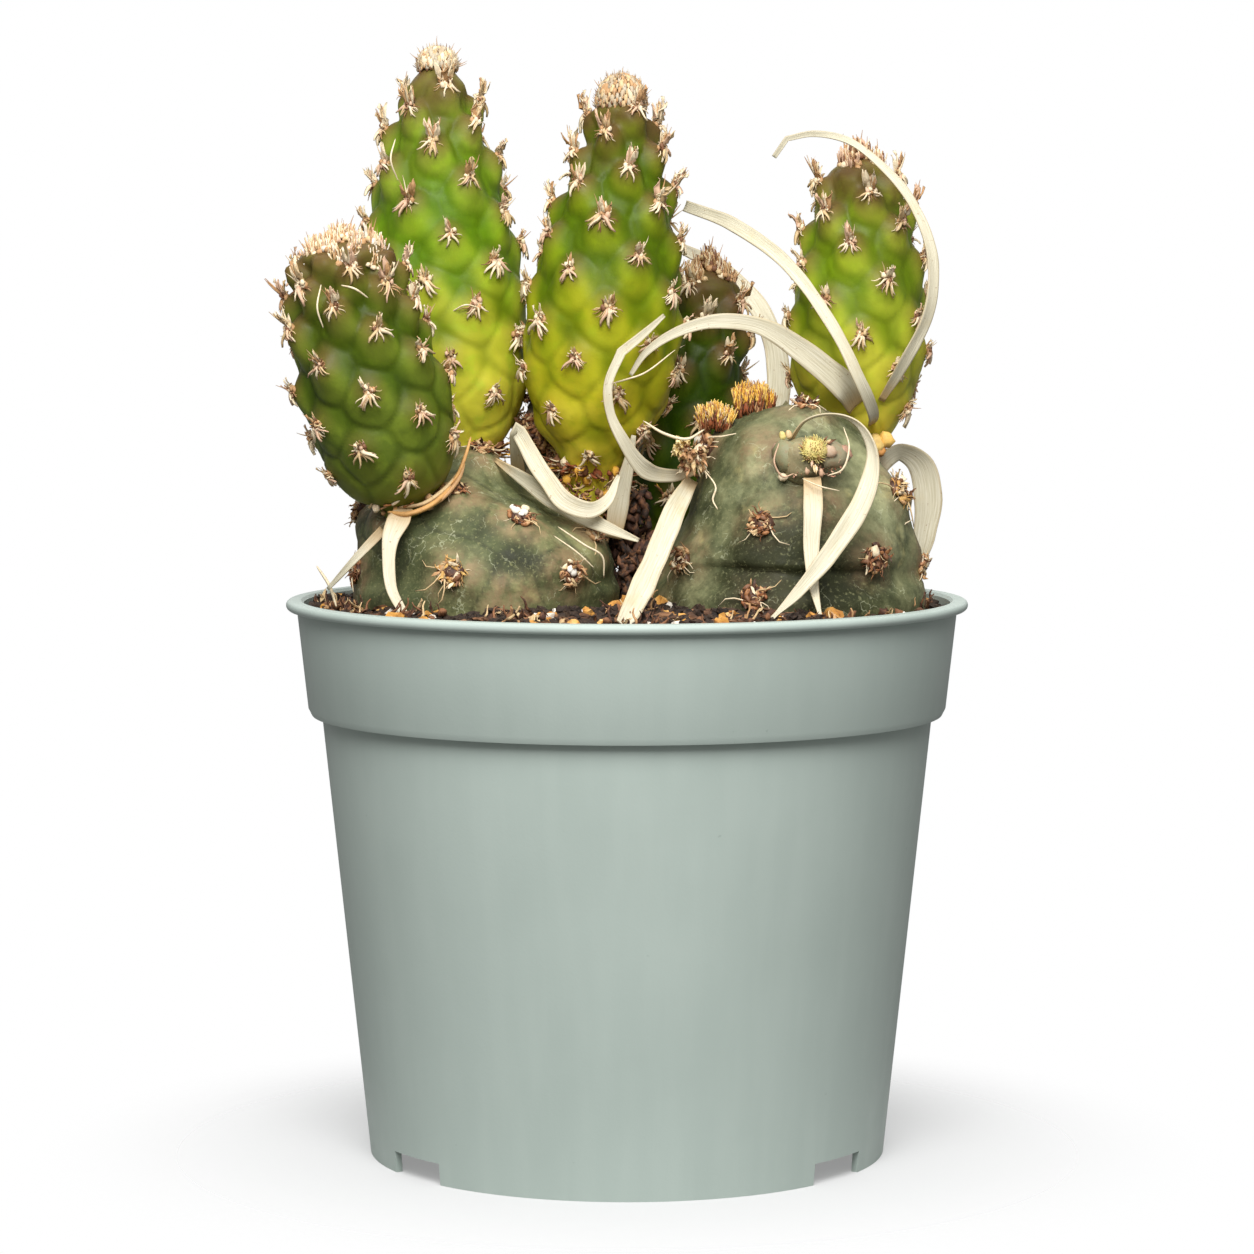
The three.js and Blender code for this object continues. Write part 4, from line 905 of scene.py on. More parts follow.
class Segment:
    """A stem segment as a surface round a curved axis. A place on it is a row of its outline and a
    turn round the axis, and the unit sphere stands for its skin with shapes kept."""

    def __init__(self, name, spec):
        self.name = name
        self.spec = spec
        self.line = smooth_curve(spec["axis"], AXIS_SAMPLES)
        steps = np.linalg.norm(np.diff(self.line, axis=0), axis=1)
        self.length = steps.sum()
        self.share = np.append(0, np.cumsum(steps)) / self.length
        self.tangents = unit(np.gradient(self.line, axis=0))
        reach = spec["outline"][-1][0]
        outline = smooth_curve([(a / reach, r / self.length) for a, r in spec["outline"]], OUTLINE_SAMPLES)
        self.along = np.clip(outline[:, 0], 0, 1)
        self.radius = np.maximum(outline[:, 1], 0) * self.length
        step = np.hypot(np.diff(self.along) * self.length, np.diff(self.radius))
        mean = np.maximum((self.radius[1:] + self.radius[:-1]) / 2, LEAST_RADIUS)
        self.rows = np.arange(OUTLINE_SAMPLES)
        self.measure = np.append(0, np.cumsum(step)) / step.sum()
        self.mercator = np.append(0, np.cumsum(step / mean))
        self.weight = np.append(0, np.cumsum(step * mean * self.density(self.along[1:])))
        self.middle = self.mercator[np.argmax(self.weight > self.weight[-1] / 2)]
        slope = unit(np.stack([np.gradient(self.along) * self.length, np.gradient(self.radius)], axis=1))
        self.run, self.rise = slope.T
        self.place_areoles()

    def density(self, along):
        """How crowded the areoles are at this share of the height."""
        bare_length, bare_density = self.spec["bare"]
        crowding = 1 + (self.spec["tip_density"] - 1) * eased(along, *TIP_CROWDING)
        return np.where(along < bare_length / self.length, bare_density, crowding)

    def row_where(self, column, value):
        """The row at which one of the outline's columns has this value."""
        return np.interp(value, column, self.rows)

    def at(self, row, column):
        """The value of one of the outline's columns at this row."""
        return np.interp(row, self.rows, column)

    def surface(self, row, turn):
        """Points of the skin over its crests, and their normals."""
        row, turn = np.atleast_1d(row), np.atleast_1d(turn)
        along = self.at(row, self.along)
        centre = np.stack([np.interp(along, self.share, column) for column in self.line.T], axis=1)
        tangent = unit(np.stack([np.interp(along, self.share, column) for column in self.tangents.T], axis=1))
        up = np.tile((0.0, 0.0, 1.0), (len(row), 1)) if self.spec.get("level") else tangent
        side = unit(np.array((1.0, 0, 0)) - up * up[:, :1])
        back = np.cross(up, side)
        radial = side * np.cos(turn)[:, None] + back * np.sin(turn)[:, None]
        outward = radial * (1, self.spec.get("depth", 1), 1)
        run, rise = self.at(row, self.run)[:, None], self.at(row, self.rise)[:, None]
        dot = (tangent * up).sum(1, keepdims=True)
        lean = (tangent * radial).sum(1, keepdims=True)
        normal = unit(radial * run * dot + up * (-rise - run * lean))
        return centre + outward * self.at(row, self.radius)[:, None], normal

    def direction(self, row, turn):
        """The direction on the unit sphere that stands for a place on the skin."""
        latitude = 2 * np.arctan(np.exp(self.at(row, self.mercator) - self.middle)) - math.pi / 2
        flat = np.cos(latitude)
        return np.stack([flat * np.cos(turn), flat * np.sin(turn), np.sin(latitude)], axis=-1)

    def place_of(self, direction):
        """The row and turn that a direction on the unit sphere stands for."""
        latitude = np.arcsin(np.clip(direction[..., 2], -1, 1))
        mercator = self.middle + np.log(np.tan(latitude / 2 + math.pi / 4) + 1e-9)
        return self.row_where(self.mercator, mercator), np.arctan2(direction[..., 1], direction[..., 0])

    def place_areoles(self):
        """The chosen areoles, and a spiral of others wherever it keeps clear of them."""
        spec = self.spec
        foot, top = spec["axis"][0][2], spec["axis"][-1][2]
        chosen = []
        for turn, height in spec.get("chosen", []):
            row = self.row_where(self.along, (height - foot) / (top - foot))
            chosen.append(self.direction(row, math.radians(turn)))
        apart = math.sqrt(4 * math.pi / spec["areoles"]) * CHOSEN_ROOM
        spiral = []
        for i in range(spec["areoles"]):
            row = self.row_where(self.weight, (i + 0.5) / spec["areoles"] * self.weight[-1])
            direction = self.direction(row, math.radians(spec["phase"]) + i * GOLDEN_ANGLE)
            if all(math.acos(min(1, direction @ other)) > apart for other in chosen):
                spiral.append(direction)
        self.centres = np.array(chosen + spiral)
        angles = np.sort(np.arccos(np.clip(self.centres @ self.centres.T, -1, 1)), axis=1)
        self.sizes = angles[:, 1 : NEIGHBOURS + 1].mean(1) / math.sqrt(3)
        self.crests = self.towards_tip(self.sizes * RELIEF[spec["kind"]]["rise"])
        self.bellies = self.towards_tip(-self.sizes * BELLY_DROP)

    def towards_tip(self, angles):
        """The areoles' directions moved along the skin towards the tip, except at the poles."""
        moved = []
        for direction, angle, size in zip(self.centres, angles, self.sizes):
            across = np.array((0, 0, 1.0)) - direction * direction[2]
            near_pole = np.linalg.norm(across) < math.sin(size / 2)
            step = direction if near_pole else direction * math.cos(angle) + unit(across) * math.sin(angle)
            moved.append(step)
        return np.array(moved)

    def distance_to(self, point):
        """Roughly how far outside the segment a point is."""
        near = self.at(self.row_where(self.along, self.share), self.radius)
        return (np.linalg.norm(self.line - np.array(point), axis=1) - near).min()


segments = {name: Segment(name, spec) for name, spec in SEGMENTS.items()}


def soil_height(x, y):
    """Height of the soil's surface: slightly domed and lumpy."""
    dome = SOIL["crown"] * (1 - (x * x + y * y) / POT["rim_inner_radius"] ** 2)
    lumps = noise.noise(Vector((x, y, 0)) / SOIL["grain"] + Vector(SOIL["pattern"]))
    return SOIL["edge_height"] + dome + SOIL["roughness"] * lumps


# The pot
def pot_profile():
    """Half of the pot's section, from the underside of its floor out and up to the mouth and back."""
    p = POT
    rim_foot = p["height"] - p["rim_depth"]
    skirt = p["foot_radius"] - p["wall"]
    corner_out, corner_in, corner_height = p["floor_corner"]
    outside = [
        (0, p["floor_underside"]),
        (skirt + p["skirt_draft"], p["floor_underside"]),
        (skirt, 0),
        (p["foot_radius"], 0),
        (p["body_top_radius"], p["band_foot_height"] - p["step_slope"]),
        (p["band_foot_radius"], p["band_foot_height"]),
        (p["band_foot_radius"] + p["band_round"], p["band_foot_height"] + 2 * p["band_round"]),
        (p["band_top_radius"], rim_foot),
    ]
    roll_radius = p["rim_depth"] / 2
    roll = [
        (
            p["rim_radius"] - roll_radius + roll_radius * math.cos(math.radians(angle)),
            p["height"] - roll_radius + roll_radius * math.sin(math.radians(angle)),
        )
        for angle in range(*p["roll_angles"])
    ]
    inside = [
        (p["rim_inner_radius"], p["height"]),
        (p["band_top_radius"] - p["wall"], p["height"] - p["rim_round"]),
        (p["band_foot_radius"] - p["wall"] + p["inner_step"][0], p["band_foot_height"] + p["inner_step"][1]),
        (p["body_top_radius"] - p["wall"], p["band_foot_height"] + p["band_round"]),
        (skirt + corner_out, p["floor_top"] + corner_height),
        (skirt - corner_in, p["floor_top"]),
        (0, p["floor_top"]),
    ]
    return outside + roll + inside


def spun(profile, steps):
    """A closed solid turned about Z from half of its section."""
    bm = bmesh.new()
    verts = [bm.verts.new((radius, 0, height)) for radius, height in profile]
    edges = [bm.edges.new(pair) for pair in zip(verts, verts[1:])]
    bmesh.ops.spin(
        bm, geom=verts + edges, cent=(0, 0, 0), axis=(0, 0, 1), dvec=(0, 0, 0),
        angle=2 * math.pi, steps=steps, use_merge=True,
    )
    bmesh.ops.remove_doubles(bm, verts=bm.verts, dist=1e-4)
    bmesh.ops.recalc_face_normals(bm, faces=bm.faces)
    return bm


def cut_away(bm, cutters):
    """The bmesh without the cutters' space."""
    body = linked("uncut", as_mesh(bm, "uncut"))
    tool = linked("cutters", as_mesh(cutters, "cutters"))
    modifier = body.modifiers.new("cut", "BOOLEAN")
    modifier.operation = "DIFFERENCE"
    modifier.object = tool
    modifier.solver = "EXACT"
    shown = body.evaluated_get(bpy.context.evaluated_depsgraph_get())
    result = bmesh.new()
    result.from_mesh(shown.to_mesh())
    for thing in (body, tool):
        bpy.data.meshes.remove(thing.data)
    return result


def make_pot():
    """The moulded pot, with notches in its foot, holes in its floor and softened edges."""
    cutters = bmesh.new()
    for angle in FOOT_NOTCH["angles"]:
        turn = Matrix.Rotation(math.radians(angle), 4, "Z")
        notch = Matrix.Translation((POT["foot_radius"], 0, FOOT_NOTCH["height"] / 2 - CUTTER_ROOM))
        height = FOOT_NOTCH["height"] + 2 * CUTTER_ROOM
        size = Matrix.Diagonal((FOOT_NOTCH["cutter_length"], FOOT_NOTCH["width"], height, 1))
        bmesh.ops.create_cube(cutters, size=1, matrix=turn @ notch @ size)
        hole = Matrix.Translation((DRAIN_HOLE["distance"], 0, POT["floor_top"]))
        bmesh.ops.create_cone(
            cutters, cap_ends=True, segments=DRAIN_HOLE["sides"], radius1=DRAIN_HOLE["radius"],
            radius2=DRAIN_HOLE["radius"], depth=DRAIN_HOLE["cutter_length"], matrix=turn @ hole,
        )
    bm = cut_away(spun(pot_profile(), POT["steps"]), cutters)
    pot = finished(bm, "pot_moulded", pot_plastic(), ["pot"])
    bevel = pot.modifiers.new("edges", "BEVEL")
    bevel.width = SOFT_EDGE["width"] * MM
    bevel.segments = SOFT_EDGE["segments"]
    bevel.limit_method = "ANGLE"
    bevel.angle_limit = math.radians(SOFT_EDGE["from_angle"])
    bevel.harden_normals = True


# The soil
def make_soil():
    """The bed of peat with a crumbly surface, and the grains that lie in it."""
    matter = {name: granules(name, stops) for name, stops in SOIL_MATTER.items()}
    top = SOIL["edge_height"]
    foot = POT["foot_radius"] - POT["wall"] - SOIL["foot_gap"]
    outside = [(0, SOIL["bottom"]), (foot, SOIL["bottom"]), (SOIL["radius"], top - 1)]
    surface = [(SOIL["radius"] * ring / SOIL["rings"], top) for ring in range(SOIL["rings"], -1, -1)]
    bm = spun(outside + surface, SOIL["steps"])
    for vert in bm.verts:
        if vert.co.z > top - 0.5:
            x, y, _ = vert.co
            crumbs = [noise.noise(Vector((x, y, layer)) / size) * depth for size, depth, layer in SOIL_CRUMBS]
            vert.co.z = soil_height(x, y) + sum(crumbs)
    finished(bm, "soil_bed", matter["peat"], ["soil"])
    for index, name in enumerate(GRAINS):
        make_grains(name, index, matter)


def make_grains(name, index, matter):
    """One kind of grain, scattered over the soil but not into the old segments."""
    count, sizes, flatness, kind = GRAINS[name]
    rng = random.Random(SEEDS["grains"] + index)
    old = [segments["old_segment_left"], segments["old_segment_right"]]
    variants = range(index * 5, index * 5 + GRAIN["variants"])
    shapes = [as_mesh(knobbly_ball(variant, *GRAIN["knobs"]), "grain") for variant in variants]
    placed = []
    while len(placed) < count:
        radius = (SOIL["radius"] - GRAIN["edge_room"]) * math.sqrt(rng.random())
        turn = rng.uniform(-math.pi, math.pi)
        size = rng.uniform(*sizes) / 2
        x, y = radius * math.cos(turn), radius * math.sin(turn)
        spot = Vector((x, y, soil_height(x, y) + size * rng.uniform(*GRAIN["above"])))
        if min(segment.distance_to(spot) for segment in old) < size * GRAIN["clear"]:
            continue
        tumble = Euler((rng.uniform(*GRAIN["tip"]), rng.uniform(*GRAIN["tip"]), rng.uniform(0, 6.3)))
        stretch = Matrix.Diagonal((size * rng.uniform(*GRAIN["stretch"]), size, size * flatness, 1))
        place = Matrix.Translation(spot) @ tumble.to_matrix().to_4x4() @ stretch
        placed.append((rng.choice(shapes), place))
    finished(gathered(placed), name, matter[kind], smooth=False)
    for shape in shapes:
        bpy.data.meshes.remove(shape)


# The skins of the segments
def skin_shape(segment, row, turn):
    """The skin at these places: points, normals, how far it stands out, its lumps, and by name the
    height along the segment, the distance to the nearest areole, how near the middle of a mound it
    is, how far from the line between two mounds, and its painted shade and paleness."""
    spec = segment.spec
    relief = RELIEF[spec["kind"]]
    point, normal = segment.surface(row, turn)
    direction = segment.direction(row, turn)
    angles = np.arccos(np.clip(direction @ segment.bellies.T, -1, 1))
    first, second = np.partition(angles, 1, axis=1)[:, :2].T
    edge = (second - first) / (second + first)
    mounds = np.exp(-((angles / (segment.sizes * relief["breadth"])) ** 2)).sum(axis=1)
    mound = np.clip((mounds - MOUND["foot"]) / MOUND["height"], 0, 1)
    flat = np.sqrt(np.maximum(1 - direction[:, 2] ** 2, 1e-6))
    scale = segment.at(row, segment.radius) / flat
    areole = np.arccos(np.clip(direction @ segment.crests.T, -1, 1)).min(1) * scale
    along = segment.at(row, segment.along)
    bare = spec["bare"][0] / segment.length
    fade = eased(along, bare, bare + BARE_FADE / segment.length)
    size = segment.sizes[angles.argmin(1)] * scale
    fullness = np.minimum(1, size / relief["full_size"])
    onward = eased(along, *RIPENING)
    cap_start, cap_depth = spec.get("cap", NO_CAP)
    capped = eased(along, cap_start, CAP_END) * cap_depth
    deepening, rise = (low + (high - low) * onward for low, high in (relief["deepening"], relief["chin"]))
    groove = (1 - mound) * deepening + relief["line"] * np.exp(-((edge / LINE_WIDTH) ** 2))
    chin = rise * np.exp(-((areole / (CHIN_BREADTH * size)) ** 2))
    lumps, grain = (np.array([noise.noise(Vector(p) / breadth) for p in point]) for breadth in LUMP_SIZES)
    push = relief["lumps"][0] * lumps + relief["lumps"][1] * grain
    relieved = (spec["groove"] * groove - chin) * fullness * fade
    out = push * eased(fade, 0, 0.5) - relieved * (1 - np.minimum(capped, 1)) - capped
    # Painted shade in the darker places of the old skins, and paleness in the paler ones
    shade_and_pale = np.zeros(len(point))
    for spot, size, amount in PAINTED_SHADE_AND_PALE.get(segment.name, []):
        shade_and_pale += amount * np.exp(-(np.linalg.norm(point - spot, axis=1) / size) ** 2)
    values = {"height": along, "areole": np.minimum(areole, 20), "mound": mound, "edge": edge, "shade_and_pale": shade_and_pale}
    return point, normal, out, lumps, values


def creased(point, turn, lumps):
    """How far the crease across the front of the right old segment draws its skin in."""
    low, high = CREASE["turns"]
    fade = CREASE["fade"]
    front = eased(np.degrees(turn), low, low + fade) * eased(-np.degrees(turn), -high, -high + fade)
    height = CREASE["height"] + CREASE["waver"] * np.sin(turn * 5) + lumps
    return CREASE["depth"] * front * np.exp(-(((point[:, 2] - height) / CREASE["width"]) ** 2))


def make_skin(name, segment, material):
    """The fine skin: soft mounds with an areole near the top of each."""
    step = SKIN_STEP[segment.spec["kind"]]
    profile = np.hypot(np.diff(segment.along) * segment.length, np.diff(segment.radius)).sum()
    steps_round, steps_up = int(2 * math.pi * segment.radius.max() / step), int(profile / step)
    bm = bmesh.new()
    bmesh.ops.create_uvsphere(bm, u_segments=steps_round, v_segments=steps_up, radius=1)
    co = np.array([vert.co for vert in bm.verts])
    turn = np.arctan2(co[:, 1], co[:, 0])
    measure = np.arcsin(np.clip(co[:, 2], -1, 1)) / math.pi + 0.5
    row = segment.row_where(segment.measure, measure)
    point, normal, out, lumps, values = skin_shape(segment, row, turn)
    if name == CREASE["segment"]:
        out = out - creased(point, turn, lumps)
    for vert, place in zip(bm.verts, point + normal * out[:, None]):
        vert.co = place
    nodes = [name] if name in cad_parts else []
    skin = finished(bm, name + "_skin", material, nodes)
    for key, column in values.items():
        give(skin.data, key, column)


# Dry shapes of length or radius 1, each in one shade. They are made once, and cleared away at the end.
dry_shapes = []


def tinted(bm, colour, tips):
    """The bmesh as a mesh in one shade, with how near its tip each vertex is."""
    mesh = as_mesh(bm, "dry_shape")
    give(mesh, "tip", tips)
    shade = mesh.attributes.new("shade", "FLOAT_COLOR", "POINT")
    shade.data.foreach_set("color", (*linear(colour), 1) * len(tips))
    dry_shapes.append(mesh)
    return mesh


def rod(sides, foot_radius, tip_radius, cuts):
    """A closed rod of length 1 along Z, cut across in even steps."""
    bm = bmesh.new()
    bmesh.ops.create_cone(
        bm, cap_ends=True, segments=sides, radius1=foot_radius, radius2=tip_radius, depth=1,
        matrix=Matrix.Translation((0, 0, 0.5)),
    )
    upright = [edge for edge in bm.edges if abs(edge.verts[0].co.z - edge.verts[1].co.z) > 0.5]
    bmesh.ops.subdivide_edges(bm, edges=upright, cuts=cuts, use_grid_fill=True)
    return bm


@cache
def bristle(width, bend, colour, wave=0.0, pointed=False):
    """A bristle along Z that tapers and bends towards +X by this many degrees. A pointed one is
    brown at its tip, and the others are blunt."""
    bm = rod(sides=4, foot_radius=width, tip_radius=width * (0.15 if pointed else 0.4), cuts=3)
    tips = [vert.co.z if pointed else min(vert.co.z, 0.5) for vert in bm.verts]
    angle = math.radians(bend)
    for vert in bm.verts:
        x, y, z = vert.co
        reach = math.sin(angle * z) / angle
        sway = (1 - math.cos(angle * z)) / angle
        ripple = wave * math.sin(7 * z)
        vert.co = (sway + x * math.cos(angle * z), y + ripple, reach - x * math.sin(angle * z))
    return tinted(bm, colour, tips)


@cache
def lump(colour, size=(1, 1, 0.5), seed=2):
    """A knobbly lump of wool, felt or bark with these half sizes."""
    bm = knobbly_ball(seed, 0.5, 0.55)
    bmesh.ops.scale(bm, vec=size, verts=bm.verts)
    return tinted(bm, colour, [LUMP_TIP] * len(bm.verts))


@cache
def flake(colour, seed):
    """A dry papery scale along Z, thin, pointed and a little curled."""
    bm = bmesh.new()
    bmesh.ops.create_icosphere(bm, subdivisions=2, radius=0.5)
    bmesh.ops.scale(bm, vec=(0.07, 0.36, 1), verts=bm.verts)
    bmesh.ops.translate(bm, vec=(0, 0, 0.5), verts=bm.verts)
    for vert in bm.verts:
        x, y, z = vert.co
        waver = noise.noise(Vector((y * 4, z * 4, seed)))
        vert.co = (x + 0.35 * z * z + 0.35 * waver, y * (1.2 - 0.8 * z) + 0.2 * waver * z, z)
    return tinted(bm, colour, [0.1 + 0.5 * vert.co.z for vert in bm.verts])


def aimed(shape, start, direction, lean, length, flat=1.0):
    """The shape with its place: it starts here, points along direction and bends towards lean."""
    z = Vector(direction).normalized()
    x = (Vector(lean) - z * z.dot(Vector(lean))).normalized()
    turned = Matrix((x, z.cross(x), z)).transposed().to_4x4()
    return shape, Matrix.Translation(start) @ turned @ Matrix.Diagonal((length, length * flat, length, 1))


def shaken(rng, reach):
    """A shift of up to this much along each axis."""
    return Vector([rng.uniform(-reach, reach) for _ in range(3)])


def random_flake(rng, colours):
    """One of four flakes in one of these colours."""
    return flake(rng.choice(colours), rng.randint(0, 3))


class Areole:
    """A spot on the skin with its outward normal, the way to the tip, and the way across."""

    def __init__(self, point, normal, tangent):
        self.point = Vector(point)
        self.normal = Vector(normal).normalized()
        upward = Vector(tangent) - self.normal * self.normal.dot(Vector(tangent))
        self.upward = upward.normalized()
        self.across = self.upward.cross(self.normal)

    def flat(self, turn):
        """The direction along the skin at this turn from the way to the tip, in degrees."""
        turn = math.radians(turn)
        return self.upward * math.cos(turn) + self.across * math.sin(turn)

    def heading(self, tilt, turn):
        """A direction tilted from the normal, in degrees."""
        tilt = math.radians(tilt)
        return self.normal * math.cos(tilt) + self.flat(turn) * math.sin(tilt)

    def beside(self, radius, turn, rise=0.0):
        """A point this far from the areole on the side of this turn, and this far above the skin."""
        return self.point + self.flat(turn) * radius + self.normal * rise


def areoles_of(segment):
    """Each areole with its share of the height, and its room against a full-grown one."""
    full_size = RELIEF[segment.spec["kind"]]["full_size"]
    row, turn = segment.place_of(segment.crests)
    points, normals, out, _, values = skin_shape(segment, row, turn)
    found = []
    for k, crest in enumerate(segment.crests):
        along = values["height"][k]
        tangent = [np.interp(along, segment.share, column) for column in segment.tangents.T]
        across = max(math.hypot(crest[0], crest[1]), 1e-3)
        room = min(1, segment.sizes[k] * segment.at(row[k], segment.radius) / across / full_size)
        point = points[k] + normals[k] * (out[k] - TUFT_SINK)
        found.append((Areole(point, normals[k], tangent), along, room))
    return found


class Tuft:
    """Dry shapes that grow round an areole. Their measures are shares of the tuft's size."""

    def __init__(self, areole, size):
        self.areole = areole
        self.size = size
        self.parts = []

    def add(
        self, shape, length, around=0.0, reach=0.0, rise=0.0,
        tilt=0.0, turn=None, direction=None, lean=None, flat=1.0,
    ):
        """Adds a shape that starts this far out and up on the side called around. It is tilted from
        the normal towards turn, by default the same side, unless its direction is given."""
        start = self.areole.beside(reach * self.size, around, rise * self.size)
        if direction is None:
            direction = self.areole.heading(tilt, around if turn is None else turn)
        if lean is None:
            lean = self.areole.upward
        self.parts.append(aimed(shape, start, direction, lean, length * self.size, flat))


# The calls below name each draw, and make the draws in the order in which they are written
def young_tuft(areole, rng, size, along):
    """A papery flame that points up and outwards, over wool and blunt legs that droop down the skin."""
    upright = float(eased(along, *UPRIGHT))
    tuft = Tuft(areole, size)
    tuft.add(lump(TAN), length=0.9)
    for _ in range(9):
        tuft.add(
            around=rng.uniform(0, 360), reach=rng.uniform(0.2, 1.0), rise=rng.uniform(0.3, 0.9),
            shape=lump(rng.choice((CREAM, CREAM, STRAW, PINKISH, BROWN, TAN)), (1, 0.7, 0.6), 5),
            tilt=30, length=rng.uniform(0.3, 0.6),
        )
    for _ in range(4 + round(3 * upright)):
        tuft.add(
            around=rng.uniform(-50, 50), shape=random_flake(rng, (CREAM, CREAM, STRAW, PINKISH, TAN)),
            reach=rng.uniform(0, 0.7), length=rng.uniform(1.4, 2.4) * (1 + 0.7 * upright),
            tilt=rng.uniform(10, 60),
        )
    for _ in range(rng.randint(1, 2) + round(upright)):
        tuft.add(
            tilt=rng.uniform(20, 60), turn=rng.uniform(-40, 40),
            shape=bristle(0.06, rng.choice((8, 20)), rng.choice((CREAM, STRAW, TAN)), 0.02, pointed=True),
            length=rng.uniform(2.4, 3.6) * (1 + 0.4 * upright),
        )
    for _ in range(rng.randint(5, 6) - round(2 * upright)):
        tuft.add(
            around=180 + rng.choice((-1, 1)) * rng.uniform(5, 62),
            shape=bristle(
                colour=rng.choice((CREAM, CREAM, STRAW, PINKISH)), width=rng.choice((0.13, 0.18)),
                bend=rng.choice((40, 60)), wave=rng.choice((-0.06, 0.06)),
            ),
            reach=0.3, rise=0.6, length=rng.uniform(1.9, 3.2), tilt=rng.uniform(56, 74),
            lean=-areole.normal, flat=0.75,
        )
    for _ in range(12):
        tuft.add(
            around=180 + rng.uniform(-80, 80), reach=rng.uniform(0.3, 1.0), rise=0.2,
            shape=bristle(0.07, 60, rng.choice((CREAM, STRAW, TAN, BROWN)), rng.choice((-0.06, 0.06))),
            tilt=rng.uniform(40, 80), lean=-areole.normal, length=rng.uniform(1.2, 2.2),
        )
    for _ in range(12):
        tuft.add(
            around=rng.uniform(0, 360), reach=rng.uniform(0.2, 0.9),
            shape=bristle(0.2, 20, rng.choice((CREAM, CREAM, STRAW, TAN, BROWN)), 0.07),
            tilt=rng.uniform(5, 55), length=rng.uniform(0.7, 1.3),
        )
    return tuft.parts


def woolly_tuft(areole, rng, size, colours):
    """An upright tuft by the tip: a scalloped pale foot, close wool and a dark-tipped spike or two."""
    upward = areole.normal + UP * 1.2
    tuft = Tuft(areole, size)
    for k in range(12):
        tuft.add(
            around=30 * k + rng.uniform(-15, 15), reach=rng.uniform(0.5, 1.3), rise=rng.uniform(0.1, 0.7),
            shape=lump(rng.choice(colours), (1, 0.8, 0.8), 5), direction=upward, lean=areole.across,
            length=rng.uniform(0.4, 0.7),
        )
    for _ in range(40):
        tuft.add(
            around=rng.uniform(0, 360), reach=rng.uniform(0.1, 1.2), rise=0.2 / size,
            direction=upward + shaken(rng, 0.5), shape=bristle(0.09, 20, rng.choice(colours), 0.04),
            length=rng.uniform(1.2, 2.4),
        )
    for _ in range(rng.randint(1, 2)):
        tuft.add(
            direction=upward + shaken(rng, 0.6), shape=bristle(0.05, 8, TAN, 0.02, pointed=True),
            length=rng.uniform(2.8, 4.0),
        )
    return tuft.parts


def crowded_tip(segment, rng, count, start, size, colours):
    """Woolly tufts side by side over the tip, from this share of the height on."""
    parts = []
    for k in range(count):
        along = 1 - (1 - start) * ((k + 0.4) / count) ** 1.4
        point, normal = segment.surface(segment.row_where(segment.along, along), k * GOLDEN_ANGLE)
        foot = point[0] - normal[0] * segment.spec["cap"][1] * 1.1
        areole = Areole(foot, normal[0] + np.array((0, 0, 1e-3)), (0.02, 0.01, 1))
        parts += woolly_tuft(areole, rng, size * rng.uniform(0.85, 1.15), colours)
    return parts


def old_tuft(areole, rng, size, colours, wool_count=0):
    """A nest of torn felt round a dark hollow, with pale shreds, curly hairs and a few threads."""
    inward = -areole.normal
    tuft = Tuft(areole, size)
    tuft.add(lump(DARK_BROWN), length=1.7)
    for _ in range(30):
        around = rng.uniform(0, 360)
        reach = rng.uniform(0.75, 1.9)
        tuft.add(
            around=around, reach=reach, rise=rng.uniform(0.1, 1.4 - 0.5 * reach),
            shape=lump(rng.choice(colours), (1, 0.5, 0.45), rng.choice((5, 9))), tilt=rng.uniform(10, 90),
            turn=rng.uniform(0, 360), lean=areole.flat(around + 90), length=rng.uniform(0.35, 0.8),
        )
    for _ in range(18):
        tuft.add(
            around=rng.uniform(0, 360), reach=rng.uniform(0.6, 1.7), rise=rng.uniform(0.3, 0.9),
            shape=random_flake(rng, colours + (CREAM, STRAW)), tilt=rng.uniform(20, 100),
            turn=rng.uniform(0, 360), lean=inward, length=rng.uniform(0.9, 1.8),
        )
    for _ in range(wool_count):
        tuft.add(
            reach=rng.uniform(0.2, 1.5), around=rng.uniform(-60, 60), rise=0.9,
            shape=lump(rng.choice((WHITE_WOOL, CREAM, (244, 238, 226))), (1, 0.8, 0.6), 7),
            length=rng.uniform(0.4, 0.8),
        )
    for _ in range(44):
        tuft.add(
            reach=rng.uniform(0.5, 2.0), around=rng.uniform(0, 360), rise=0.3, tilt=rng.uniform(30, 88),
            turn=rng.uniform(0, 360), lean=inward,
            shape=bristle(
                bend=rng.choice((20, 70)), width=rng.choice((0.06, 0.1)), colour=rng.choice(colours),
                wave=rng.choice((-0.08, 0.08)),
            ),
            length=rng.uniform(0.8, 1.7),
        )
    for _ in range(rng.randint(5, 8)):
        tuft.add(
            tilt=rng.uniform(50, 80), turn=180 + rng.uniform(-130, 130), lean=inward,
            shape=bristle(
                bend=rng.choice((60, 110)), width=0.03, colour=rng.choice((CREAM, STRAW)),
                wave=rng.choice((-0.08, 0.08)),
            ),
            length=rng.uniform(2.8, 6.0),
        )
    return tuft.parts


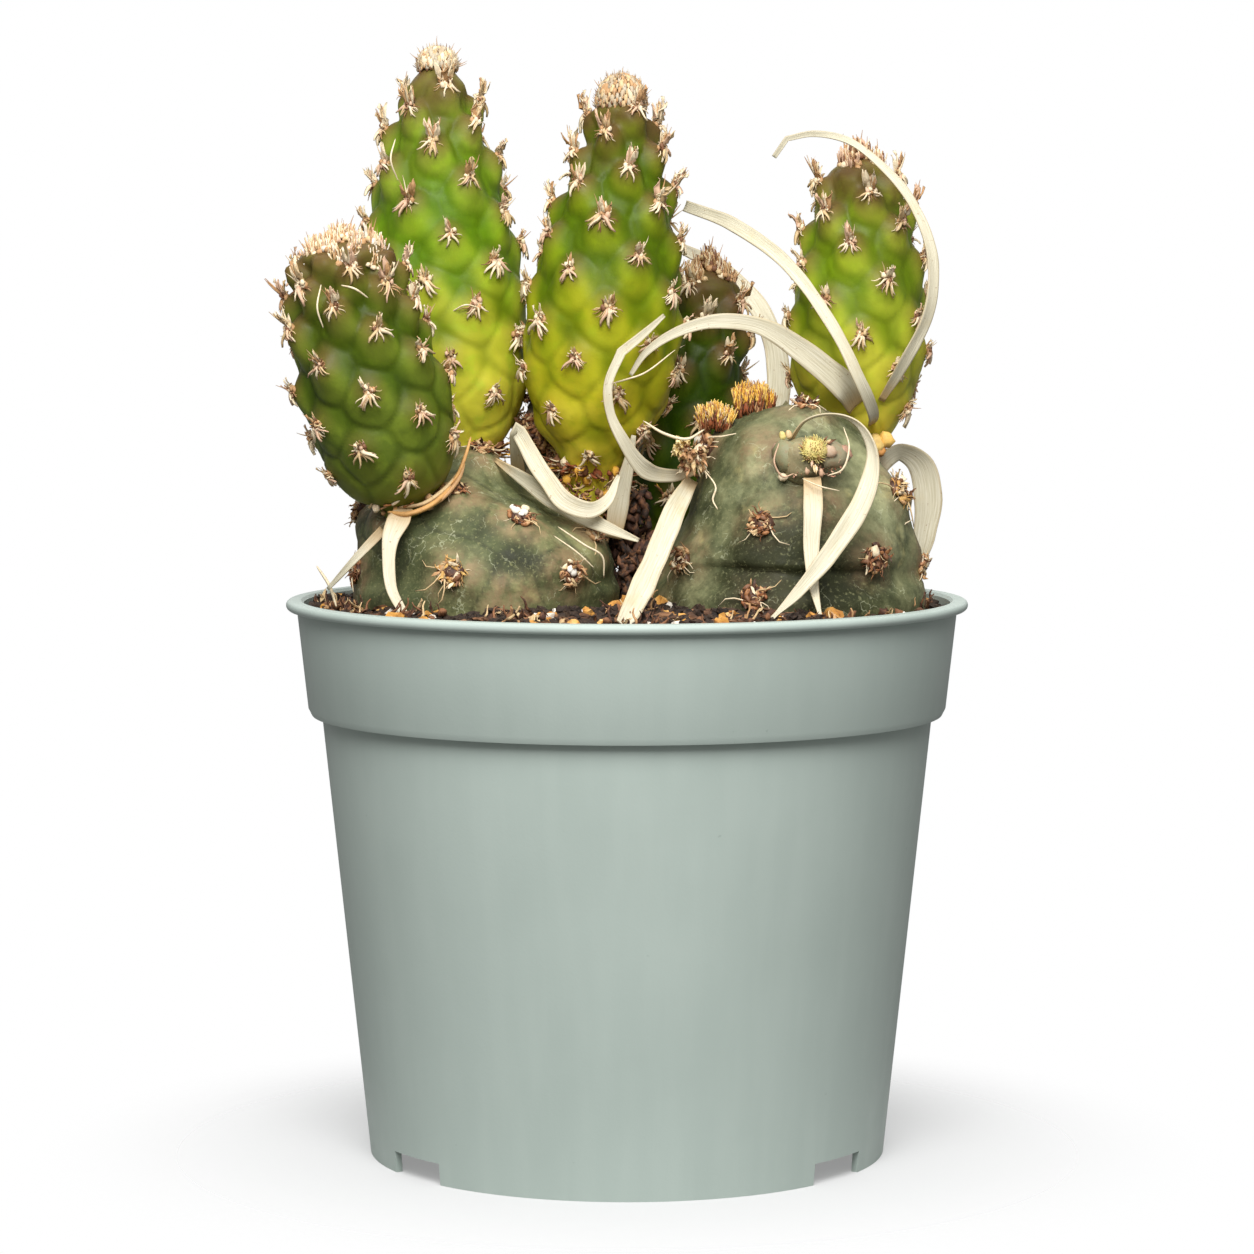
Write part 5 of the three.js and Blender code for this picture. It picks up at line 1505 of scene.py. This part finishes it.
def glochid_cushion(foot, radius, height, fan, gold, rng):
    """A cushion of glochids in clumps that fan out by this much: golden above, rust-coloured below."""
    parts = []
    for clump in range(GLOCHIDS["clumps"]):
        turn = clump * GOLDEN_ANGLE
        reach = math.sqrt((clump + 0.5) / GLOCHIDS["clumps"])
        out = Vector((math.cos(turn), math.sin(turn), 0)) * reach
        start = Vector(foot) + out * radius - UP * GLOCHIDS["doming"] * reach * reach
        lean = UP + out * fan
        long = height * rng.uniform(0.8, 1.05)
        for colour, share, size in GLOCHIDS["cores"]:
            parts.append(aimed(lump(colour, (0.6, 0.6, 1), 5), start + lean * long * share, lean, out, size))
        for _ in range(GLOCHIDS["in_clump"]):
            sway = shaken(rng, 0.2)
            root = start + shaken(rng, 0.6)
            parts.append(aimed(
                shape=bristle(0.07, 12, rng.choice(gold + GLOCHIDS["tops"]), 0.05),
                start=root + lean * long * rng.uniform(0.35, 0.5), direction=lean + sway * 1.6, lean=UP,
                length=long * rng.uniform(0.4, 0.55),
            ))
            parts.append(aimed(
                shape=bristle(0.05, 12, rng.choice(GLOCHIDS["bases"]), 0.05), start=root,
                direction=lean + sway, lean=UP, length=long * rng.uniform(0.5, 0.75),
            ))
    return parts


def woolly_cap(segment, rng, radius, height, colours, count):
    """A close dome of wool over the tip, in lobes that hang over its edge, with a few short spikes."""
    tip = Vector(segment.line[-1])
    axis = Vector(segment.tangents[-1])
    side = axis.orthogonal().normalized()
    foot = tip - axis * (height + CAP["sink"])
    core = lump(TAN, (CAP["core"], CAP["core"], CAP["core"] * height / radius), 3)
    parts = [aimed(core, foot, axis, side, radius)]
    for k in range(count):
        polar = math.acos(1 - CAP["wrap"] * (k + 0.5) / count)
        round_about = side.copy()
        round_about.rotate(Matrix.Rotation(k * GOLDEN_ANGLE, 3, axis))
        out = round_about * math.sin(polar) * radius + axis * math.cos(polar) * height
        downward = round_about * math.cos(polar) - axis * math.sin(polar)
        parts.append(aimed(
            shape=lump(rng.choice(colours), (0.55, 0.6, 1.2), rng.choice((4, 6))),
            start=foot + out * 0.93, direction=downward, lean=out, length=rng.uniform(0.5, 0.85),
        ))
        for _ in range(2):
            sway = shaken(rng, 0.4)
            parts.append(aimed(
                shape=bristle(0.12, 20, rng.choice(colours + (BROWN,)), 0.04), start=foot + out * 0.95 + sway,
                direction=out.normalized() + axis + sway, lean=axis, length=rng.uniform(0.4, 0.8),
            ))
        if polar > CAP["stained_from"]:
            parts.append(aimed(
                shape=lump(rng.choice((TAN, BROWN)), (0.4, 0.4, 1), 5),
                start=foot + out * 0.97 + downward * 0.6, direction=downward, lean=out,
                length=rng.uniform(0.3, 0.5),
            ))
        if rng.random() < CAP["spikes"]:
            parts.append(aimed(
                shape=bristle(0.06, 8, TAN, 0.02, pointed=True), start=foot + out * 0.9,
                direction=out.normalized() + axis * 0.4, lean=axis, length=rng.uniform(1.6, 2.4),
            ))
    return parts


def make_tufts(name, segment, material, seed):
    """All the bristles of one segment as one piece."""
    rng = random.Random(seed)
    others = [other for other in segments.values() if other is not segment]
    bare = segment.spec["bare"][0] / segment.length
    topmost = CAPPED_FROM if name in CAPS else CROWDS.get(name, (0, 1))[1]
    kind = segment.spec["kind"]
    parts = []
    for index, (areole, along, room) in enumerate(areoles_of(segment)):
        x, y, z = areole.point
        clear = min(other.distance_to(areole.point) for other in others) >= BURIED["beside_segment"]
        buried = z < soil_height(x, y) + BURIED["above_soil"] or not clear
        size = rng.uniform(*TUFT_SIZES)
        fallen = any((areole.point - Vector(spot)).length < FALLEN_WITHIN for spot in FALLEN_TUFTS)
        if buried or fallen or not bare < along < topmost:
            continue
        if (name, index) in CUSHIONS:
            parts += glochid_cushion(*CUSHIONS[name, index], rng)
        elif kind == "old":
            parts += old_tuft(areole, rng, *OLD_TUFTS.get((name, index), (OLD_TUFT_SIZE * size, RUSTY)))
        elif kind == "young":
            parts += young_tuft(areole, rng, size * max(room, LEAST_ROOM), along)
    if name in CAPS:
        parts += woolly_cap(segment, rng, *CAPS[name])
    if name in CROWDS:
        parts += crowded_tip(segment, rng, *CROWDS[name])
    if parts:
        finished(gathered(parts), name + "_tufts", material)


# Smaller dry parts
def scattered(spot, heading, rng, colours):
    """A scale, a bristle or a crumb that starts at this spot and points roughly along its heading."""
    sway = shaken(rng, 0.5)
    kind = rng.random()
    colour = rng.choice(colours)
    if kind < 0.3:
        shape, lengths = flake(colour, rng.randint(0, 3)), (1.4, 3.0)
    elif kind < 0.7:
        shape, lengths = bristle(0.1, 40, colour, 0.07), (1.6, 3.6)
    else:
        shape, lengths = lump(colour, (1, 0.8, 0.6), 5), (0.5, 1.1)
    return aimed(shape, spot, heading + sway, UP + sway, rng.uniform(*lengths))


def make_collars(material):
    """Dry scales round the foot of each young segment."""
    rng = random.Random(SEEDS["collars"])
    parts = []
    for name, along, width, turns, count, pose in COLLARS:
        segment = segments[name]
        centre = Vector([np.interp(along / segment.length, segment.share, axis) for axis in segment.line.T])
        for _ in range(count):
            row = segment.row_where(segment.along, (along + rng.uniform(-1.2, 1.2)) / segment.length)
            point, normal = segment.surface(row, math.radians(rng.uniform(*turns)))
            out = Vector(point[0]) - centre
            heading = Vector(normal[0]) + UP * 0.2 if pose == "standing" else UP.cross(out).normalized() * 1.6
            parts.append(scattered(centre + out * width, heading, rng, SCALE_COLOURS[pose]))
    finished(gathered(parts), "foot_scales", material)


def make_mounds(material):
    """Dark mounds of felt and scales in the gaps between the segments, as painted shade."""
    rng = random.Random(SEEDS["mounds"])
    parts = []
    for x, y, foot, top, radius, count in MOUNDS:
        for _ in range(count):
            share = rng.random()
            reach = radius * (1 - 0.6 * share)
            height = foot + (top - foot) * share
            spot = Vector((x + rng.uniform(-reach, reach), y + rng.uniform(-reach, reach), height))
            lean = shaken(rng, 1)
            # Near-black felt that stands as painted shade in the gap
            felt = lump(rng.choice(SHADE_FELT_COLOURS), (1, 0.5, 0.4), 5)
            parts.append(aimed(felt, spot, lean, UP + lean * 0.3, rng.uniform(0.9, 1.9)))
            if rng.random() < 0.4:
                parts.append(scattered(spot, lean - UP * 0.4, rng, SCALE_COLOURS["fallen"]))
    finished(gathered(parts), "shade_felt", material)


def make_litter(material):
    """Heaps of fallen bristles and scales on the soil."""
    rng = random.Random(SEEDS["litter"])
    spots = []
    for x, y, spread, count in LITTER:
        for _ in range(count):
            here = (x + rng.gauss(0, spread / 2), y + rng.gauss(0, spread / 2))
            inside = math.hypot(*here) < SOIL["radius"] - 2
            spot = Vector((*here, soil_height(*here) + rng.uniform(0, 1.2)))
            if inside and min(segment.distance_to(spot) for segment in segments.values()) > 0:
                spots.append((spot, Vector((rng.uniform(-1, 1), rng.uniform(-1, 1), rng.uniform(0.1, 1.1)))))
    parts = [scattered(spot, heading, rng, SCALE_COLOURS["fallen"]) for spot, heading in spots]
    finished(gathered(parts), "soil_litter", material)


def make_bud_dressing(material):
    """The bud's yellow woolly areole, its side shoots, the pink scales under it, and the wool of the
    large tufts beside it."""
    rng = random.Random(SEEDS["bud"])
    front = Vector((0.1, -1, 0.25))
    parts = []
    for spot, size, colour, half_sizes in BUD_LUMPS:
        parts.append(aimed(lump(colour, half_sizes, 6), spot, front, UP, size))
    for middle, spread, count, colours in BUD_FELT:
        for _ in range(count):
            shift = shaken(rng, spread)
            place = {"start": Vector(middle) + shift, "direction": front + shift * 0.6}
            felt = lump(rng.choice(colours), (1, 0.6, 0.8), 6)
            parts.append(aimed(felt, **place, lean=UP, length=rng.uniform(0.5, 0.9)))
            shred = random_flake(rng, colours)
            parts.append(aimed(shred, **place, lean=-UP, length=rng.uniform(1.4, 2.4)))
    dome = Areole(BUD_WOOL["foot"], front, UP)
    for k in range(BUD_WOOL["count"]):
        turn = math.degrees(k * GOLDEN_ANGLE)
        reach = BUD_WOOL["radius"] * math.sqrt(k / BUD_WOOL["count"])
        colour = rng.choice(BUD_WOOL["colours"])
        heading = dome.heading(26 * reach + rng.uniform(-15, 15), turn)
        start = dome.beside(reach, turn, -0.25 * reach * reach - 0.5)
        parts.append(aimed(bristle(0.14, 20, colour, 0.04), start, heading, UP, rng.uniform(0.9, 1.3)))
    for _ in range(34):
        spot = Vector((rng.uniform(26.4, 36.6), -27.6, rng.uniform(120.8, 122.4)))
        scale = random_flake(rng, (PINKISH, STRAW, BROWN, (190, 140, 116)))
        heading = front + Vector((rng.uniform(-0.8, 0.8), 0, rng.uniform(-1.2, 0.4)))
        parts.append(aimed(scale, spot, heading, UP, rng.uniform(1.2, 2.2)))
    for _ in range(9):
        turn = rng.uniform(30, 200)
        parts.append(aimed(
            start=dome.beside(rng.uniform(1.7, 2.6), turn, -rng.uniform(0.6, 1.2)),
            shape=random_flake(rng, (PINKISH, STRAW, BROWN, CREAM)),
            direction=dome.heading(rng.uniform(40, 80), turn), lean=-front, length=rng.uniform(1, 1.9),
        ))
    finished(gathered(parts), "bud_dressing", material)


def make_threads(material):
    """Thin dry threads, pointed at both ends."""
    parts = []
    for width, colour, points in THREADS:
        line = smooth_curve(points, THREAD_STEPS + 1)
        tangents = unit(np.gradient(line, axis=0))
        bm = rod(sides=5, foot_radius=1, tip_radius=1, cuts=THREAD_STEPS - 1)
        for vert in bm.verts:
            x, y, z = vert.co
            step = round(z * THREAD_STEPS)
            tangent = Vector(tangents[step])
            side = tangent.cross(Vector((0.3, 1, 0.2))).normalized()
            taper = 0.3 + 0.7 * math.sin(math.pi * step / THREAD_STEPS) ** 0.5
            vert.co = Vector(line[step]) + (side * x + tangent.cross(side) * y) * width / 2 * taper
        parts.append((tinted(bm, colour, [LUMP_TIP] * len(bm.verts)), Matrix.Identity(4)))
    finished(gathered(parts), "loose_threads", material)


# Papery spines
def blade_line(name, rows, steps):
    """The middle line of a blade in even steps, with its sharp fold if it has one."""
    fold = FOLDS.get(name, len(rows) - 1)
    before = round(steps * fold / (len(rows) - 1))
    line = smooth_curve(rows[: fold + 1, :3], before + 1)
    if before < steps:
        line = np.vstack([line, smooth_curve(rows[fold:, :3], steps - before + 1)[1:]])
    return line


def make_blade(name, rows, material, seed):
    """A thin curled blade along its rows, with slightly uneven edges."""
    rows = np.array(rows, float)
    if name in TUCKED:
        onward = unit(rows[-1, :3] - rows[-2, :3])
        rows = np.vstack([rows, [*(rows[-1, :3] + onward * TUCKED[name]), rows[-1, 3] * 0.8, rows[-1, 4]]])
    length = np.linalg.norm(np.diff(rows[:, :3], axis=0), axis=1).sum()
    steps = int(length / PAPERY["step"])
    line = blade_line(name, rows, steps)
    tangents = unit(np.gradient(line, axis=0))
    place = np.linspace(0, len(rows) - 1, steps + 1)
    widths = np.interp(place, np.arange(len(rows)), rows[:, 3])
    turns = np.radians(np.interp(place, np.arange(len(rows)), rows[:, 4]))
    lengths = np.append(0, np.cumsum(np.linalg.norm(np.diff(line, axis=0), axis=1)))
    bm = bmesh.new()
    bmesh.ops.create_grid(bm, x_segments=PAPERY["strips"], y_segments=steps, size=1)
    across_values, along_values = [], []
    for vert in bm.verts:
        across = vert.co.x
        step = round((vert.co.y + 1) / 2 * steps)
        tangent = Vector(tangents[step])
        side = tangent.cross(Vector((0, 1, 0))).normalized()
        side.rotate(Matrix.Rotation(turns[step], 3, tangent))
        face = tangent.cross(side)
        waver = noise.noise(Vector((lengths[step] / PAPERY["waver_length"], seed, across * 0.4)))
        width = widths[step] * (1 + PAPERY["unevenness"] * waver)
        curl = PAPERY["curl"] * width * (across * across - 0.3) + PAPERY["waver"] * waver
        vert.co = Vector(line[step]) + side * (across * width / 2) + face * curl
        across_values.append(across)
        along_values.append(lengths[step] / 10)
    blade = finished(bm, f"papery_blade_{name}", material, [f"papery_spine_{name}"])
    give(blade.data, "across", across_values)
    give(blade.data, "along", along_values)
    solidify = blade.modifiers.new("thickness", "SOLIDIFY")
    solidify.thickness = PAPERY["thickness"] * MM
    solidify.offset = 0


# Stage
def make_floor():
    """A round floor that fades out at its edge."""
    bm = bmesh.new()
    bmesh.ops.create_circle(bm, cap_ends=True, segments=96, radius=FLOOR["radius"])
    mesh = as_mesh(bm, "floor")
    mesh.materials.append(floor_white())
    linked("floor", mesh)


def make_lights():
    """Soft suns, and a softbox above the camera."""
    for name, light in SUNS.items():
        data = bpy.data.lights.new(name, "SUN")
        data.energy = light["strength"]
        data.angle = math.radians(light["spread"])
        lamp = linked(name, data)
        lamp.rotation_euler = (math.radians(90 - light["elevation"]), 0, math.radians(-light["from_left"]))
    data = bpy.data.lights.new("softbox", "AREA")
    data.energy = SOFTBOX["power"]
    data.size = SOFTBOX["size"]
    lamp = linked("softbox", data)
    lamp.location = SOFTBOX["place"]
    aim = Vector(SOFTBOX["aim"]) - Vector(SOFTBOX["place"])
    lamp.rotation_euler = aim.to_track_quat("-Z", "Y").to_euler()


def make_world():
    """An even white surrounding that shows as pure white and lights more softly."""
    world = bpy.data.worlds.new("studio")
    world.use_nodes = True
    nodes, links = world.node_tree.nodes, world.node_tree.links
    light, shown = nodes["Background"], nodes.new("ShaderNodeBackground")
    for background, strength in ((light, AMBIENT), (shown, 1.0)):
        background.inputs["Color"].default_value = (1, 1, 1, 1)
        background.inputs["Strength"].default_value = strength
    chooser = nodes.new("ShaderNodeMixShader")
    links.new(nodes.new("ShaderNodeLightPath").outputs["Is Camera Ray"], chooser.inputs[0])
    links.new(light.outputs[0], chooser.inputs[1])
    links.new(shown.outputs[0], chooser.inputs[2])
    links.new(chooser.outputs[0], nodes["World Output"].inputs["Surface"])
    bpy.context.scene.world = world
    bpy.context.scene.view_settings.view_transform = "Standard"


def make_camera():
    """The camera at the photograph's viewing angle."""
    data = bpy.data.cameras.new("camera")
    data.lens = CAMERA["lens"]
    data.sensor_width = CAMERA["sensor"]
    camera = linked("camera", data)
    camera.location = (0, -CAMERA["distance"] * MM, CAMERA["height"] * MM)
    camera.rotation_euler = (math.radians(90 - CAMERA["pitch"]), 0, 0)
    bpy.context.scene.camera = camera


make_floor()
make_lights()
make_world()
make_camera()
make_pot()
make_soil()

spines = dry_matter("dry_spines", 0.6, 0.25)
litter = dry_matter("dry_litter", 0.8, 0.45)
for seed, (name, segment) in enumerate(segments.items()):
    spec = segment.spec
    if name in OLD_SKINS:
        skin = old_skin(*OLD_SKINS[name])
    else:
        skin = young_skin(name + "_green", spec["colours"], spec["browned"], spec["lined"])
    make_skin(name, segment, skin)
    make_tufts(name, segment, spines, SEEDS["tufts"] + seed)
make_collars(litter)
make_mounds(litter)
make_litter(litter)
make_bud_dressing(spines)
make_threads(spines)

paper = papery_blade()
for seed, (name, rows) in enumerate(PAPERY_SPINES.items()):
    make_blade(name, rows, paper, seed)

for shape in dry_shapes:
    bpy.data.meshes.remove(shape)
